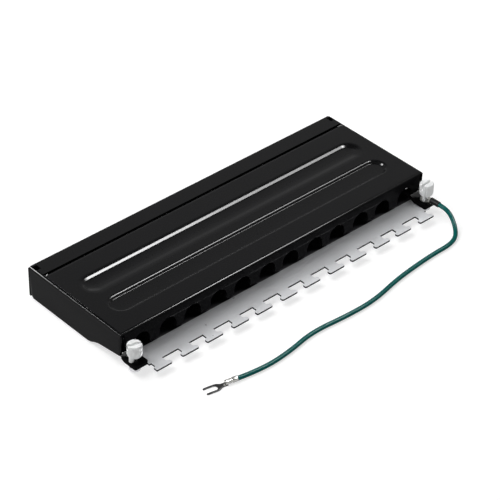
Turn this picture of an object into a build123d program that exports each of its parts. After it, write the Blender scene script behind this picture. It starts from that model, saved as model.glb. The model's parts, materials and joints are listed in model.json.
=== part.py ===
"""Wall mount patch panel: a flat steel case with twelve shielded jacks along one long
side and twelve cable notches along the other.

Frame: X along the length, +Y towards the jack face, -Y towards the cable side, +Z up.
The origin is on the wall side, at the centre of the footprint. Lengths are in mm.
"""

from math import cos, hypot, pi, radians, sin, tan
import os

from build123d import *

os.makedirs("parts", exist_ok=True)

# Overall sizes of the case
LENGTH = 254.0
DEPTH = 109.4
HEIGHT = 24.0
JACK_FACE_Y = DEPTH / 2
TAB_END_Y = -DEPTH / 2

# Sheets and their bends
COVER_SHEET = 1.2
FRAME_SHEET = 1.2
BASE_SHEET = 1.2
BEND_RADIUS = 1.8
SLIP = 0.3  # room between sheets that slide past each other

# Ports, notches and tie tabs share one spacing: six pairs
PAIR_COUNT = 6
PAIR_END_MARGIN = 6.1  # from the case's end to the first pair's cell
PAIR_GAP = 19.4  # from the last port of a pair to the first of the next
PAIR_PITCH = (LENGTH - 2 * PAIR_END_MARGIN) / PAIR_COUNT
PORT_PITCH = PAIR_PITCH - PAIR_GAP

# Top cover
FLANGE_SETBACK = 21.1  # from the tab ends to the notched flange
SEAM_SETBACK = 13.55  # from the jack face to the seam
SEAM_GAP = 0.8
FLANGE_BOTTOM = 7.6
FLANGE_END_GAP = 2.7  # open corner between flange and side wall
WALL_SETBACK = 0.0  # from the flange's face to the side wall's edge
WALL_END_STRIP = 2.2  # the wall's last stretch is coined a little inwards
WALL_END_COINING = 0.25
WALL_BOTTOM = 1.0
WALL_STEP_START = -1.5  # y where the wall's lower edge starts to rise
WALL_STEP_END = -14.5
WALL_STEP_HEIGHT = 5.1
WALL_EDGE_SLOPE = 0.14  # rise per mm of the wall's edge behind the step
PIN = 0.01  # tolerance when edges are picked by place
NOTCH_WIDTH = 13.2
NOTCH_TOP = 17.7
TONGUE_REACH = 6.0
TONGUE_END_MARGIN = 5.0
CORNER_CHAMFER = 2.4

# Stiffening beads pressed into the cover
BEAD_WIDTH = 13.0
BEAD_DEPTH = 1.1
BEAD_SLOPE = 45.0
BEAD_END_MARGIN = 14.0
BEAD_YS = (15.3, -9.5)

# Ears of the cover and the thumbscrews that hold it down
EAR_WIDTH = 10.1
EAR_THICK = 2.5
EAR_NEAR_SETBACK = 7.8  # from the tab ends to the ear's near edge
EAR_JOG = 2.6
EAR_JOG_START = 2.8  # y in front of the flange where the ear starts to rise
EAR_JOG_RUN = 5.0
EAR_TAIL = 4.5
EAR_CORNER = 1.2
EAR_FACE_SLOPE = 14.0  # how far the jog's upper bends lean back, in degrees
SCREW_INSET_X = 4.2
SCREW_TO_FLANGE = 7.8
STUD_RADIUS = 1.5
THREAD_CLEARANCE = 0.05
SCREW_HOLE_CLEARANCE = 0.4
KNOB_RADIUS = 4.8
KNOB_BODY = 9.0
KNOB_NECK = 3.6
KNOB_NECK_RADIUS = 2.6
KNOB_FLUTE_RADIUS = 1.15
KNOB_FLUTES = 6
KNOB_SLOT = 1.3
KNOB_SLOT_DEPTH = 2.2
KNOB_CAP_CHAMFER = 1.2
KNOB_UNDERCUT = 0.6  # the neck ends this far below the body
KNOB_WAIST = 0.4  # the body's foot is this much slimmer
KNOB_WAIST_TOP = 1.2
KNOB_FULL_FROM = 2.4
KNOB_FLUTE_OFFSET = 0.35
STUD_LEAD = 0.3  # the stud ends this far above the nut's foot
STUD_CHAMFER = 0.4
NUT_RADIUS = 3.6
NUT_HEIGHT = 3.0
NUT_CHAMFER = 0.5

# Base plate with its row of tie tabs
PLATE_LIFT = 4.0  # the tab side stands this far off the wall
JOG_START = -3.0
JOG_END = -13.0
TAB_HEAD_WIDTH = 13.0
TAB_HEAD_DEPTH = 3.1
TAB_SHOULDER = 2.3
TAB_STEM_WIDTH = TAB_HEAD_WIDTH - 2 * TAB_SHOULDER
TAB_STEM_DEPTH = 4.1
TAB_CORNER = 1.1
BASE_FLANGE_HEIGHT = 14.0
BASE_FLANGE_REAR = 0.0
WALL_HOLE_RADIUS = 2.4
WALL_HOLE_INSET = 32.0
WALL_HOLE_SPACING = LENGTH - 2 * WALL_HOLE_INSET
WALL_HOLE_Y = 4.0

# Frame behind and around the jacks
LIP_END_GAP = 0.4
RELIEF_WIDTH = 3.4  # bend relief at each end of the top strip
RELIEF_LENGTH = 4.6
RELIEF_SETBACK = 2.6
BOTTOM_LIP_DEPTH = 10.7
BOTTOM_LIP_GAP = 0.8
RETURN_DEPTH = 14.0
RETURN_TOP_GAP = 2.0
FRAME_BEND = 1.5
WINDOW_WIDTH = 14.2
WINDOW_HEIGHT = 11.6

# Circuit board
BOARD_THICK = 1.6
BOARD_LIFT = 3.0
BOARD_END_MARGIN = 6.0
BOARD_REAR_MARGIN = 1.5
BOARD_FACE_GAP = 1.5
SPACER_RADIUS = 2.6
SPACER_COUNT = 4
SPACER_END_INSET = 22.0
SPACER_SCREW_SETBACK = 3.5  # behind the jacks
SPACER_POST_INSET = 4.0  # under the jacks
BOARD_SCREW_RADIUS = 1.5
BOARD_SCREW_HEAD_RADIUS = 2.5
BOARD_SCREW_HEAD = 1.6
BOARD_SCREW_LENGTH = 2.4
BOARD_SCREW_ROUNDING = 0.7

# Jacks
JACK_WIDTH = 16.0
JACK_HEIGHT = 0.5625 * HEIGHT
JACK_LENGTH = 18.4
JACK_FACE_GAP = 0.1
SHIELD_WALL = 0.4
PLUG_WIDTH = 11.8
PLUG_HEIGHT = 6.8
PLUG_DEPTH = 14.0
PLUG_FLOOR = 2.2
LATCH_WIDTH = 6.4
LATCH_HEIGHT = 2.2
CONTACT_COUNT = 8
CONTACT_PITCH = 1.02
CONTACT_THICK = 0.35
CONTACT_RISE = 1.7
CONTACT_FOOT = 2.0
CONTACT_UNDER = 11.0
CONTACT_REACH = 12.0

# Punch-down blocks behind the jacks
BLOCK_WIDTH = 15.5
BLOCK_TO_JACK = 7.0
BLOCK_DEPTH = 15.5
BLOCK_BASE = 6.0
BLOCK_HEIGHT = 12.5
BLOCK_ROW_DEPTH = 4.6
BLOCK_ROWS = 2
BLOCK_POSTS = 5
BLOCK_SLOT = 1.2
BLOCK_ROW_MARGIN = 1.0
BLOCK_PEAK = 1.2
BLOCK_POST_ROOT = 0.5
BLADE_THICK = 0.5
BLADE_HEIGHT = 5.0
BLADE_DEPTH = 3.0

# Ground lead
RING_RADIUS = 3.7
RING_THICK = 0.8
LEAD_ANGLE = 2.0  # the terminal leans this much from -Y towards +X
BARREL_RADIUS = 1.4
BARREL_START = 4.4
BARREL_LENGTH = 4.4
BOOT_RADIUS = 2.0
BOOT_START = 4.7
BOOT_LENGTH = 7.0
BOOT_GAP = 0.05
BOOT_ROUNDING = 0.4
WIRE_RADIUS = 1.5
WIRE_STRAIGHT = 6.2  # straight out of the sleeve
WIRE_BEND_SHARE = 0.45  # share of the shorter run that a bend takes up
SPADE_THICK = 0.8
SPADE_BARREL_RADIUS = 1.75
SPADE_BARREL_LENGTH = 8.2
SPADE_NECK_LENGTH = 2.6
SPADE_NECK_WIDTH = 3.0
SPADE_FORK_WIDTH = 6.2
SPADE_SLOT_WIDTH = 4.0
SPADE_FORK_LENGTH = 11.2
SPADE_BRIDGE = 2.6

# Places that follow from the sizes above
HALF = LENGTH / 2
FLANGE_Y = TAB_END_Y + FLANGE_SETBACK
SEAM_Y = JACK_FACE_Y - SEAM_SETBACK
LIP_REAR_Y = SEAM_Y + SEAM_GAP
FRAME_INNER_Y = JACK_FACE_Y - FRAME_SHEET
WALL_FRONT_Y = FRAME_INNER_Y - SLIP
WALL_REAR_Y = FLANGE_Y + WALL_SETBACK
COVER_UNDER = HEIGHT - COVER_SHEET
PLATE_TOP = PLATE_LIFT + BASE_SHEET
EAR_TOP = PLATE_TOP + EAR_THICK
EAR_NEAR_Y = TAB_END_Y + EAR_NEAR_SETBACK
SCREW_X = HALF - SCREW_INSET_X
SCREW_Y = FLANGE_Y - SCREW_TO_FLANGE
RETURN_OUTER_X = HALF - COVER_SHEET - SLIP
BASE_OUTER_X = RETURN_OUTER_X - FRAME_SHEET
BOTTOM_LIP_REAR_Y = JACK_FACE_Y - BOTTOM_LIP_DEPTH
BASE_FRONT_Y = BOTTOM_LIP_REAR_Y - BOTTOM_LIP_GAP
BOARD_BOTTOM = BASE_SHEET + BOARD_LIFT
BOARD_TOP = BOARD_BOTTOM + BOARD_THICK
JACK_FRONT_Y = FRAME_INNER_Y - JACK_FACE_GAP
JACK_REAR_Y = JACK_FRONT_Y - JACK_LENGTH
BLOCK_REAR_Y = JACK_REAR_Y - BLOCK_TO_JACK - BLOCK_DEPTH
BOARD_REAR_Y = BLOCK_REAR_Y - BOARD_REAR_MARGIN
SPACER_SCREW_Y = JACK_REAR_Y - SPACER_SCREW_SETBACK
SPACER_POST_Y = JACK_REAR_Y + SPACER_POST_INSET
SPACER_PITCH = (LENGTH - 2 * SPACER_END_INSET) / (SPACER_COUNT - 1)
SPACER_XS = [(n - (SPACER_COUNT - 1) / 2) * SPACER_PITCH for n in range(SPACER_COUNT)]
TAB_NECK_Y = TAB_END_Y + TAB_HEAD_DEPTH
TAB_ROOT_Y = TAB_NECK_Y + TAB_STEM_DEPTH
PORT_XS = [
    (pair - (PAIR_COUNT - 1) / 2) * PAIR_PITCH + side * PORT_PITCH / 2
    for pair in range(PAIR_COUNT)
    for side in (-1, 1)
]


def block(x0, x1, y0, y1, z0, z1):
    """A box between two corners."""
    return Pos((x0 + x1) / 2, (y0 + y1) / 2, (z0 + z1) / 2) * Box(x1 - x0, y1 - y0, z1 - z0)


def side_plane(x):
    """The plane across X: its own x runs along +Y and its own y along +Z."""
    return Plane(origin=(x, 0, 0), x_dir=(0, 1, 0), z_dir=(1, 0, 0))


def front_plane(y):
    """The plane across Y: its own x runs along -X and its own y along +Z."""
    return Plane(origin=(0, y, 0), x_dir=(-1, 0, 0), z_dir=(0, 1, 0))


def rod(x, y, z0, z1, radius):
    """An upright cylinder between two heights."""
    return Pos(x, y, (z0 + z1) / 2) * Cylinder(radius, z1 - z0)


def save(shape, name):
    """Name the solid or group of solids and write it out."""
    shape.label = name
    export_step(shape, f"parts/{name}.step")


def group(solids):
    """Several separate solids as one named group."""
    return Compound(children=list(solids))


def bead_pair(y):
    """The pocket on top of the cover and the swelling below it, for one bead."""
    length = LENGTH - 2 * BEAD_END_MARGIN
    growth = COVER_SHEET * (1 / cos(radians(BEAD_SLOPE)) - tan(radians(BEAD_SLOPE)))
    top = Plane(origin=(0, y, HEIGHT), x_dir=(1, 0, 0), z_dir=(0, 0, -1))
    under = Plane(origin=(0, y, COVER_UNDER), x_dir=(1, 0, 0), z_dir=(0, 0, -1))
    pocket = extrude(top * SlotOverall(length, BEAD_WIDTH), BEAD_DEPTH, taper=BEAD_SLOPE)
    swelling = extrude(
        under * SlotOverall(length + 2 * growth, BEAD_WIDTH + 2 * growth),
        BEAD_DEPTH,
        taper=BEAD_SLOPE,
    )
    return pocket, swelling


def wall_outline():
    """The side wall seen from the end, with the stepped lower edge."""
    step = Spline(
        (WALL_STEP_START, WALL_BOTTOM),
        ((WALL_STEP_START + WALL_STEP_END) / 2, (WALL_BOTTOM + WALL_STEP_HEIGHT) / 2),
        (WALL_STEP_END, WALL_STEP_HEIGHT),
        tangents=[(-1, 0), (-1, WALL_EDGE_SLOPE)],
    )
    edge = Polyline(
        (WALL_STEP_END, WALL_STEP_HEIGHT),
        (WALL_REAR_Y, FLANGE_BOTTOM),
        (WALL_REAR_Y, HEIGHT),
        (WALL_FRONT_Y, HEIGHT),
        (WALL_FRONT_Y, WALL_BOTTOM + CORNER_CHAMFER),
        (WALL_FRONT_Y - CORNER_CHAMFER, WALL_BOTTOM),
        (WALL_STEP_START, WALL_BOTTOM),
    )
    return make_face([step, edge])


def top_cover():
    """The folded cover: top, side walls and notched flange from one sheet."""
    inner_half = HALF - COVER_SHEET
    channel = front_plane(FLANGE_Y) * (
        Pos(0, HEIGHT / 2) * Rectangle(LENGTH, HEIGHT)
        - Pos(0, COVER_UNDER / 2) * Rectangle(2 * inner_half, COVER_UNDER)
    )
    folded = extrude(channel, WALL_FRONT_Y - FLANGE_Y)
    long_edges = folded.edges().filter_by(Axis.Y)
    outer = [e for e in long_edges if e.center().Z > HEIGHT - PIN]
    folded = fillet(outer, BEND_RADIUS)
    inner = [
        e
        for e in folded.edges().filter_by(Axis.Y)
        if abs(e.center().Z - COVER_UNDER) < PIN and abs(abs(e.center().X) - inner_half) < PIN
    ]
    folded = fillet(inner, BEND_RADIUS - COVER_SHEET)

    walls = extrude(side_plane(-HALF - 1) * wall_outline(), LENGTH + 2)
    bend_bottom = HEIGHT - BEND_RADIUS
    top_band = block(-HALF - 1, HALF + 1, FLANGE_Y, SEAM_Y, bend_bottom, HEIGHT + 1)
    folded = folded & (walls + top_band)
    for side in (-1, 1):
        wedge = Polyline(
            (side * HALF, WALL_REAR_Y + WALL_END_STRIP),
            (side * (HALF - WALL_END_COINING), WALL_REAR_Y),
            (side * (HALF - WALL_END_COINING), WALL_REAR_Y - 1),
            (side * (HALF + 1), WALL_REAR_Y - 1),
            (side * (HALF + 1), WALL_REAR_Y + WALL_END_STRIP),
            close=True,
        )
        folded -= extrude(make_face(wedge), bend_bottom, dir=(0, 0, 1))
    folded -= block(-inner_half, inner_half, SEAM_Y, JACK_FACE_Y, 0, HEIGHT + 1)

    flange_half = HALF - FLANGE_END_GAP
    fold = Polyline(
        (FLANGE_Y, FLANGE_BOTTOM),
        (FLANGE_Y, HEIGHT),
        (FLANGE_Y + 2 * BEND_RADIUS, HEIGHT),
        (FLANGE_Y + 2 * BEND_RADIUS, COVER_UNDER),
        (FLANGE_Y + COVER_SHEET, COVER_UNDER),
        (FLANGE_Y + COVER_SHEET, FLANGE_BOTTOM),
        close=True,
    )
    flange = extrude(side_plane(-flange_half) * make_face(fold), 2 * flange_half)
    cut = block(-HALF, HALF, FLANGE_Y - 1, FLANGE_Y + BEND_RADIUS, bend_bottom, HEIGHT + 1)
    rounding = Pos(0, FLANGE_Y + BEND_RADIUS, bend_bottom) * Rot(0, 90, 0) * Cylinder(
        BEND_RADIUS, 2 * HALF + 2
    )
    corner_cut = cut - rounding

    tongue_top = COVER_UNDER - SLIP
    tongue = Polyline(
        (SEAM_Y - 2 * COVER_SHEET, COVER_UNDER),
        (SEAM_Y - COVER_SHEET, HEIGHT - PIN),
        (SEAM_Y, HEIGHT - PIN),
        (SEAM_Y + SEAM_GAP / 2, tongue_top),
        (SEAM_Y + TONGUE_REACH, tongue_top),
        (SEAM_Y + TONGUE_REACH, tongue_top - COVER_SHEET),
        (SEAM_Y - COVER_SHEET, tongue_top - COVER_SHEET),
        close=True,
    )
    tongue_half = HALF - TONGUE_END_MARGIN
    cover = folded + flange + extrude(side_plane(-tongue_half) * make_face(tongue), 2 * tongue_half)
    cover -= corner_cut

    pockets = []
    for y in BEAD_YS:
        pocket, swelling = bead_pair(y)
        cover += swelling
        pockets.append(pocket)
    for pocket in pockets:
        cover -= pocket

    radius = NOTCH_WIDTH / 2
    for x in PORT_XS:
        top = Pos(x, FLANGE_Y, NOTCH_TOP - radius) * Rot(90, 0, 0) * Cylinder(radius, 4 * COVER_SHEET)
        foot = block(
            x - radius,
            x + radius,
            FLANGE_Y - 2 * COVER_SHEET,
            FLANGE_Y + 2 * COVER_SHEET,
            0,
            NOTCH_TOP - radius,
        )
        cover -= top + foot
    ear_inner_x = HALF - EAR_WIDTH - SLIP
    ear_clear_top = EAR_TOP + EAR_JOG + SLIP
    for side in (-1, 1):
        ends = sorted((side * ear_inner_x, side * HALF))
        cover -= block(*ends, FLANGE_Y - 1, FLANGE_Y + COVER_SHEET, 0, ear_clear_top)
    return cover


def cover_ear(side):
    """The jogged ear welded inside one corner of the cover; side is -1 or 1."""
    rise_start = FLANGE_Y - EAR_JOG_START
    rise_end = rise_start + EAR_JOG_RUN
    tail_end = rise_end + EAR_TAIL
    slope_shift = EAR_THICK * tan(radians(EAR_FACE_SLOPE))
    profile = Polyline(
        (EAR_NEAR_Y, PLATE_TOP),
        (rise_start, PLATE_TOP),
        (rise_end, PLATE_TOP + EAR_JOG),
        (tail_end, PLATE_TOP + EAR_JOG),
        (tail_end, EAR_TOP + EAR_JOG),
        (rise_end - slope_shift, EAR_TOP + EAR_JOG),
        (rise_start - slope_shift, EAR_TOP),
        (EAR_NEAR_Y, EAR_TOP),
        close=True,
    )
    ear = extrude(side_plane(HALF - EAR_WIDTH) * make_face(profile), EAR_WIDTH)
    ear -= block(HALF - COVER_SHEET, HALF + 1, WALL_REAR_Y - SLIP, tail_end + 1, 0, HEIGHT)
    upright = [e for e in ear.edges().filter_by(Axis.Z) if abs(e.center().Y - EAR_NEAR_Y) < PIN]
    ear = fillet(upright, EAR_CORNER)
    ear -= rod(SCREW_X, SCREW_Y, 0, HEIGHT, STUD_RADIUS + SCREW_HOLE_CLEARANCE)
    return ear if side > 0 else mirror(ear, Plane.YZ)


def thumbscrew_knob(x, foot_z):
    """The clear fluted knob with a slotted top, standing at foot_z."""
    body_foot = foot_z + KNOB_NECK
    top_z = body_foot + KNOB_BODY
    outline = Polyline(
        (0, foot_z),
        (KNOB_NECK_RADIUS, foot_z),
        (KNOB_NECK_RADIUS, body_foot - KNOB_UNDERCUT),
        (KNOB_RADIUS - KNOB_WAIST, body_foot + KNOB_WAIST_TOP),
        (KNOB_RADIUS, body_foot + KNOB_FULL_FROM),
        (KNOB_RADIUS, top_z - KNOB_CAP_CHAMFER),
        (KNOB_RADIUS - KNOB_CAP_CHAMFER, top_z),
        (0, top_z),
        close=True,
    )
    knob = revolve(Plane.XZ * make_face(outline), Axis.Z)
    for index in range(KNOB_FLUTES):
        angle = radians(360 / KNOB_FLUTES * (index + 0.5))
        reach = KNOB_RADIUS + KNOB_FLUTE_OFFSET
        knob -= rod(
            reach * cos(angle), reach * sin(angle), body_foot - 1, top_z + 1, KNOB_FLUTE_RADIUS
        )
    for turn in (0, 90):
        slot = Rot(0, 0, turn) * Box(3 * KNOB_RADIUS, KNOB_SLOT, 2 * KNOB_SLOT_DEPTH)
        knob -= Pos(0, 0, top_z) * slot
    knob -= rod(0, 0, foot_z, body_foot + KNOB_BODY / 2, STUD_RADIUS)
    return Pos(x, SCREW_Y, 0) * knob


def thumbscrew_stud(x, foot_z):
    """The steel stud moulded into the knob, reaching through the nut."""
    top_z = foot_z + KNOB_NECK + KNOB_BODY / 2
    stud = rod(x, SCREW_Y, PLATE_LIFT - NUT_HEIGHT + STUD_LEAD, top_z, STUD_RADIUS)
    return chamfer(stud.edges().sort_by(Axis.Z)[0], STUD_CHAMFER)


def clinch_nuts():
    """Two flanged nuts pressed into the base plate under the ears."""
    nuts = []
    for x in (-SCREW_X, SCREW_X):
        nut = rod(x, SCREW_Y, PLATE_LIFT - NUT_HEIGHT, PLATE_LIFT, NUT_RADIUS)
        nut = chamfer(nut.edges().sort_by(Axis.Z)[0], NUT_CHAMFER)
        nuts.append(nut - rod(x, SCREW_Y, 0, HEIGHT, STUD_RADIUS + THREAD_CLEARANCE))
    return group(nuts)


def base_plate():
    """The zinc-plated base: flat on the wall, jogged up to the row of tie tabs."""
    lean = BASE_SHEET * (PLATE_LIFT / hypot(PLATE_LIFT, JOG_START - JOG_END)) / 2
    profile = Polyline(
        (BASE_FRONT_Y, 0),
        (JOG_START, 0),
        (JOG_END, PLATE_LIFT),
        (TAB_ROOT_Y, PLATE_LIFT),
        (TAB_ROOT_Y, PLATE_TOP),
        (JOG_END + lean, PLATE_TOP),
        (JOG_START + lean, BASE_SHEET),
        (BASE_FRONT_Y, BASE_SHEET),
        close=True,
    )
    plate = extrude(side_plane(-BASE_OUTER_X) * make_face(profile), 2 * BASE_OUTER_X)
    for side in (-1, 1):
        ends = sorted((side * (BASE_OUTER_X - BASE_SHEET), side * BASE_OUTER_X))
        plate += block(*ends, BASE_FLANGE_REAR, BASE_FRONT_Y, 0, BASE_FLANGE_HEIGHT)

    stem = Polyline(
        (-TAB_STEM_WIDTH / 2, TAB_ROOT_Y + 2),
        (-TAB_STEM_WIDTH / 2, TAB_NECK_Y),
        (-TAB_HEAD_WIDTH / 2, TAB_NECK_Y),
        (-TAB_HEAD_WIDTH / 2, TAB_END_Y),
        (TAB_HEAD_WIDTH / 2, TAB_END_Y),
        (TAB_HEAD_WIDTH / 2, TAB_NECK_Y),
        (TAB_STEM_WIDTH / 2, TAB_NECK_Y),
        (TAB_STEM_WIDTH / 2, TAB_ROOT_Y + 2),
        close=True,
    )
    face = make_face(stem)
    rounded = [v for v in face.vertices() if v.Y < TAB_ROOT_Y]
    tab = extrude(Pos(0, 0, PLATE_LIFT) * fillet(rounded, TAB_CORNER), BASE_SHEET)
    for x in PORT_XS:
        plate += Pos(x, 0, 0) * tab
    for x in (-SCREW_X, SCREW_X):
        plate -= rod(x, SCREW_Y, 0, HEIGHT, STUD_RADIUS + SCREW_HOLE_CLEARANCE)
    for x in (-WALL_HOLE_SPACING / 2, WALL_HOLE_SPACING / 2):
        plate -= rod(x, WALL_HOLE_Y, -1, BASE_SHEET + 1, WALL_HOLE_RADIUS)
    under_ear = EAR_NEAR_Y + EAR_CORNER
    for side in (-1, 1):
        ends = sorted((side * (HALF - EAR_WIDTH), side * HALF))
        plate -= block(*ends, TAB_END_Y - 1, under_ear, 0, HEIGHT)
    return plate


def front_frame():
    """The black frame: jack face with twelve windows, top strip, foot lip and returns."""
    lip_half = HALF - COVER_SHEET - LIP_END_GAP
    profile = Polyline(
        (BOTTOM_LIP_REAR_Y, 0),
        (JACK_FACE_Y, 0),
        (JACK_FACE_Y, HEIGHT),
        (LIP_REAR_Y, HEIGHT),
        (LIP_REAR_Y, HEIGHT - FRAME_SHEET),
        (FRAME_INNER_Y, HEIGHT - FRAME_SHEET),
        (FRAME_INNER_Y, FRAME_SHEET),
        (BOTTOM_LIP_REAR_Y, FRAME_SHEET),
        close=True,
    )
    face = make_face(profile)
    outer = [v for v in face.vertices() if v.X > JACK_FACE_Y - PIN]
    frame = extrude(side_plane(-lip_half) * fillet(outer, FRAME_BEND), 2 * lip_half)
    for side in (-1, 1):
        ends = sorted((side * (lip_half - 1), side * HALF))
        frame += block(*ends, FRAME_INNER_Y, JACK_FACE_Y, FRAME_BEND, HEIGHT - FRAME_BEND)
        ends = sorted((side * BASE_OUTER_X, side * RETURN_OUTER_X))
        frame += block(
            *ends, FRAME_INNER_Y - RETURN_DEPTH, FRAME_INNER_Y, FRAME_SHEET, HEIGHT - RETURN_TOP_GAP
        )
    for side in (-1, 1):
        ends = sorted((side * (HALF - RELIEF_WIDTH - COVER_SHEET), side * (HALF - COVER_SHEET)))
        relief_front = JACK_FACE_Y - RELIEF_SETBACK
        frame -= block(*ends, relief_front - RELIEF_LENGTH, relief_front, HEIGHT - RETURN_TOP_GAP, HEIGHT + 1)
    middle = BOARD_TOP + JACK_HEIGHT / 2
    for x in PORT_XS:
        window = Pos(x, JACK_FACE_Y, middle) * Box(WINDOW_WIDTH, 4 * FRAME_SHEET, WINDOW_HEIGHT)
        frame -= window
    return frame


def circuit_board():
    """The board that carries the jacks and the punch-down blocks."""
    half = HALF - BOARD_END_MARGIN
    board = block(-half, half, BOARD_REAR_Y, FRAME_INNER_Y - BOARD_FACE_GAP, BOARD_BOTTOM, BOARD_TOP)
    for x in SPACER_XS:
        board -= rod(x, SPACER_SCREW_Y, 0, HEIGHT, BOARD_SCREW_RADIUS + SLIP / 2)
    return board


def board_spacers():
    """Round spacers between the base plate and the board."""
    spacers = []
    for x in SPACER_XS:
        tube = rod(x, SPACER_SCREW_Y, BASE_SHEET, BOARD_BOTTOM, SPACER_RADIUS)
        bore_foot = BOARD_TOP - BOARD_THICK - BOARD_SCREW_LENGTH
        spacers.append(tube - rod(x, SPACER_SCREW_Y, bore_foot, HEIGHT, BOARD_SCREW_RADIUS))
        spacers.append(rod(x, SPACER_POST_Y, BASE_SHEET, BOARD_BOTTOM, SPACER_RADIUS))
    return group(spacers)


def board_screws():
    """Pan-head screws that hold the board on its spacers."""
    screws = []
    for x in SPACER_XS:
        shank = rod(x, SPACER_SCREW_Y, BOARD_BOTTOM - BOARD_SCREW_LENGTH, BOARD_TOP, BOARD_SCREW_RADIUS)
        head = rod(x, SPACER_SCREW_Y, BOARD_TOP, BOARD_TOP + BOARD_SCREW_HEAD, BOARD_SCREW_HEAD_RADIUS)
        head = fillet(head.edges().sort_by(Axis.Z)[-1], BOARD_SCREW_ROUNDING)
        screws.append(shank + head)
    return group(screws)


def jack_shield(x):
    """The folded metal can of one jack, open at the front and towards the block."""
    half = JACK_WIDTH / 2
    can = block(x - half, x + half, JACK_REAR_Y, JACK_FRONT_Y, BOARD_TOP, BOARD_TOP + JACK_HEIGHT)
    hollow = block(
        x - half + SHIELD_WALL,
        x + half - SHIELD_WALL,
        JACK_REAR_Y + SHIELD_WALL,
        JACK_FRONT_Y + 1,
        BOARD_TOP - 1,
        BOARD_TOP + JACK_HEIGHT - SHIELD_WALL,
    )
    return can - hollow


def jack_insert(x):
    """The plastic body of one jack, with the cavity for the plug and its latch."""
    half = JACK_WIDTH / 2 - SHIELD_WALL
    body = block(
        x - half,
        x + half,
        JACK_REAR_Y + SHIELD_WALL,
        JACK_FRONT_Y,
        BOARD_TOP,
        BOARD_TOP + JACK_HEIGHT - SHIELD_WALL,
    )
    floor = BOARD_TOP + PLUG_FLOOR
    back = JACK_FRONT_Y - PLUG_DEPTH
    cavity = block(
        x - PLUG_WIDTH / 2, x + PLUG_WIDTH / 2, back, JACK_FRONT_Y + 1, floor, floor + PLUG_HEIGHT
    )
    latch = block(
        x - LATCH_WIDTH / 2,
        x + LATCH_WIDTH / 2,
        back,
        JACK_FRONT_Y + 1,
        floor + PLUG_HEIGHT - 1,
        floor + PLUG_HEIGHT + LATCH_HEIGHT,
    )
    return body - (cavity + latch)


def jack_contacts():
    """Eight spring contacts on the floor of each jack's cavity."""
    floor = BOARD_TOP + PLUG_FLOOR
    back = JACK_FRONT_Y - PLUG_DEPTH
    profile = Polyline(
        (back + CONTACT_REACH, floor),
        (back + CONTACT_REACH, floor + CONTACT_THICK),
        (back + CONTACT_FOOT, floor + CONTACT_THICK + CONTACT_RISE),
        (back, floor + CONTACT_THICK + CONTACT_RISE),
        (back, floor + CONTACT_RISE),
        (back + CONTACT_FOOT, floor + CONTACT_RISE),
        (back + CONTACT_UNDER, floor),
        close=True,
    )
    wires = []
    for x in PORT_XS:
        for index in range(CONTACT_COUNT):
            offset = (index - (CONTACT_COUNT - 1) / 2) * CONTACT_PITCH - CONTACT_THICK / 2
            wires.append(extrude(side_plane(x + offset) * make_face(profile), CONTACT_THICK))
    return group(wires)


def block_post_places():
    """Centres across the width of the posts of one punch-down row."""
    pitch = (BLOCK_WIDTH + BLOCK_SLOT) / BLOCK_POSTS
    return [(index - (BLOCK_POSTS - 1) / 2) * pitch for index in range(BLOCK_POSTS)]


def block_row_ys():
    """Rear edge of each punch-down row."""
    first = BLOCK_REAR_Y + BLOCK_ROW_MARGIN
    last = BLOCK_REAR_Y + BLOCK_DEPTH - BLOCK_ROW_MARGIN - BLOCK_ROW_DEPTH
    return [first + index * (last - first) / (BLOCK_ROWS - 1) for index in range(BLOCK_ROWS)]


def punch_down_block(x):
    """One block with two rows of peaked posts; the wires go into the slots between."""
    half = BLOCK_WIDTH / 2
    foot = BOARD_TOP + BLOCK_BASE
    body = block(x - half, x + half, BLOCK_REAR_Y, BLOCK_REAR_Y + BLOCK_DEPTH, BOARD_TOP, foot)
    pitch = (BLOCK_WIDTH + BLOCK_SLOT) / BLOCK_POSTS
    width = pitch - BLOCK_SLOT
    top = BOARD_TOP + BLOCK_HEIGHT
    for y in block_row_ys():
        for place in block_post_places():
            outline = Polyline(
                (place - width / 2, foot - BLOCK_POST_ROOT),
                (place + width / 2, foot - BLOCK_POST_ROOT),
                (place + width / 2, top - BLOCK_PEAK),
                (place, top),
                (place - width / 2, top - BLOCK_PEAK),
                close=True,
            )
            plane = Plane(origin=(x, y, 0), x_dir=(1, 0, 0), z_dir=(0, -1, 0))
            body += extrude(plane * make_face(outline), -BLOCK_ROW_DEPTH)
    return body


def punch_down_blades():
    """The split metal blades standing in the slots of the blocks."""
    blades = []
    foot = BOARD_TOP + BLOCK_BASE
    pitch = (BLOCK_WIDTH + BLOCK_SLOT) / BLOCK_POSTS
    for x in PORT_XS:
        for y in block_row_ys():
            middle = y + BLOCK_ROW_DEPTH / 2
            for place in block_post_places()[:-1]:
                centre = x + place + pitch / 2
                blades.append(
                    block(
                        centre - BLADE_THICK / 2,
                        centre + BLADE_THICK / 2,
                        middle - BLADE_DEPTH / 2,
                        middle + BLADE_DEPTH / 2,
                        foot,
                        foot + BLADE_HEIGHT,
                    )
                )
    return group(blades)


def lead_place():
    """Place of the ring terminal: its ring is at the right screw, its barrel along +X."""
    return Pos(SCREW_X, SCREW_Y, EAR_TOP) * Rot(0, 0, LEAD_ANGLE - 90)


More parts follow.
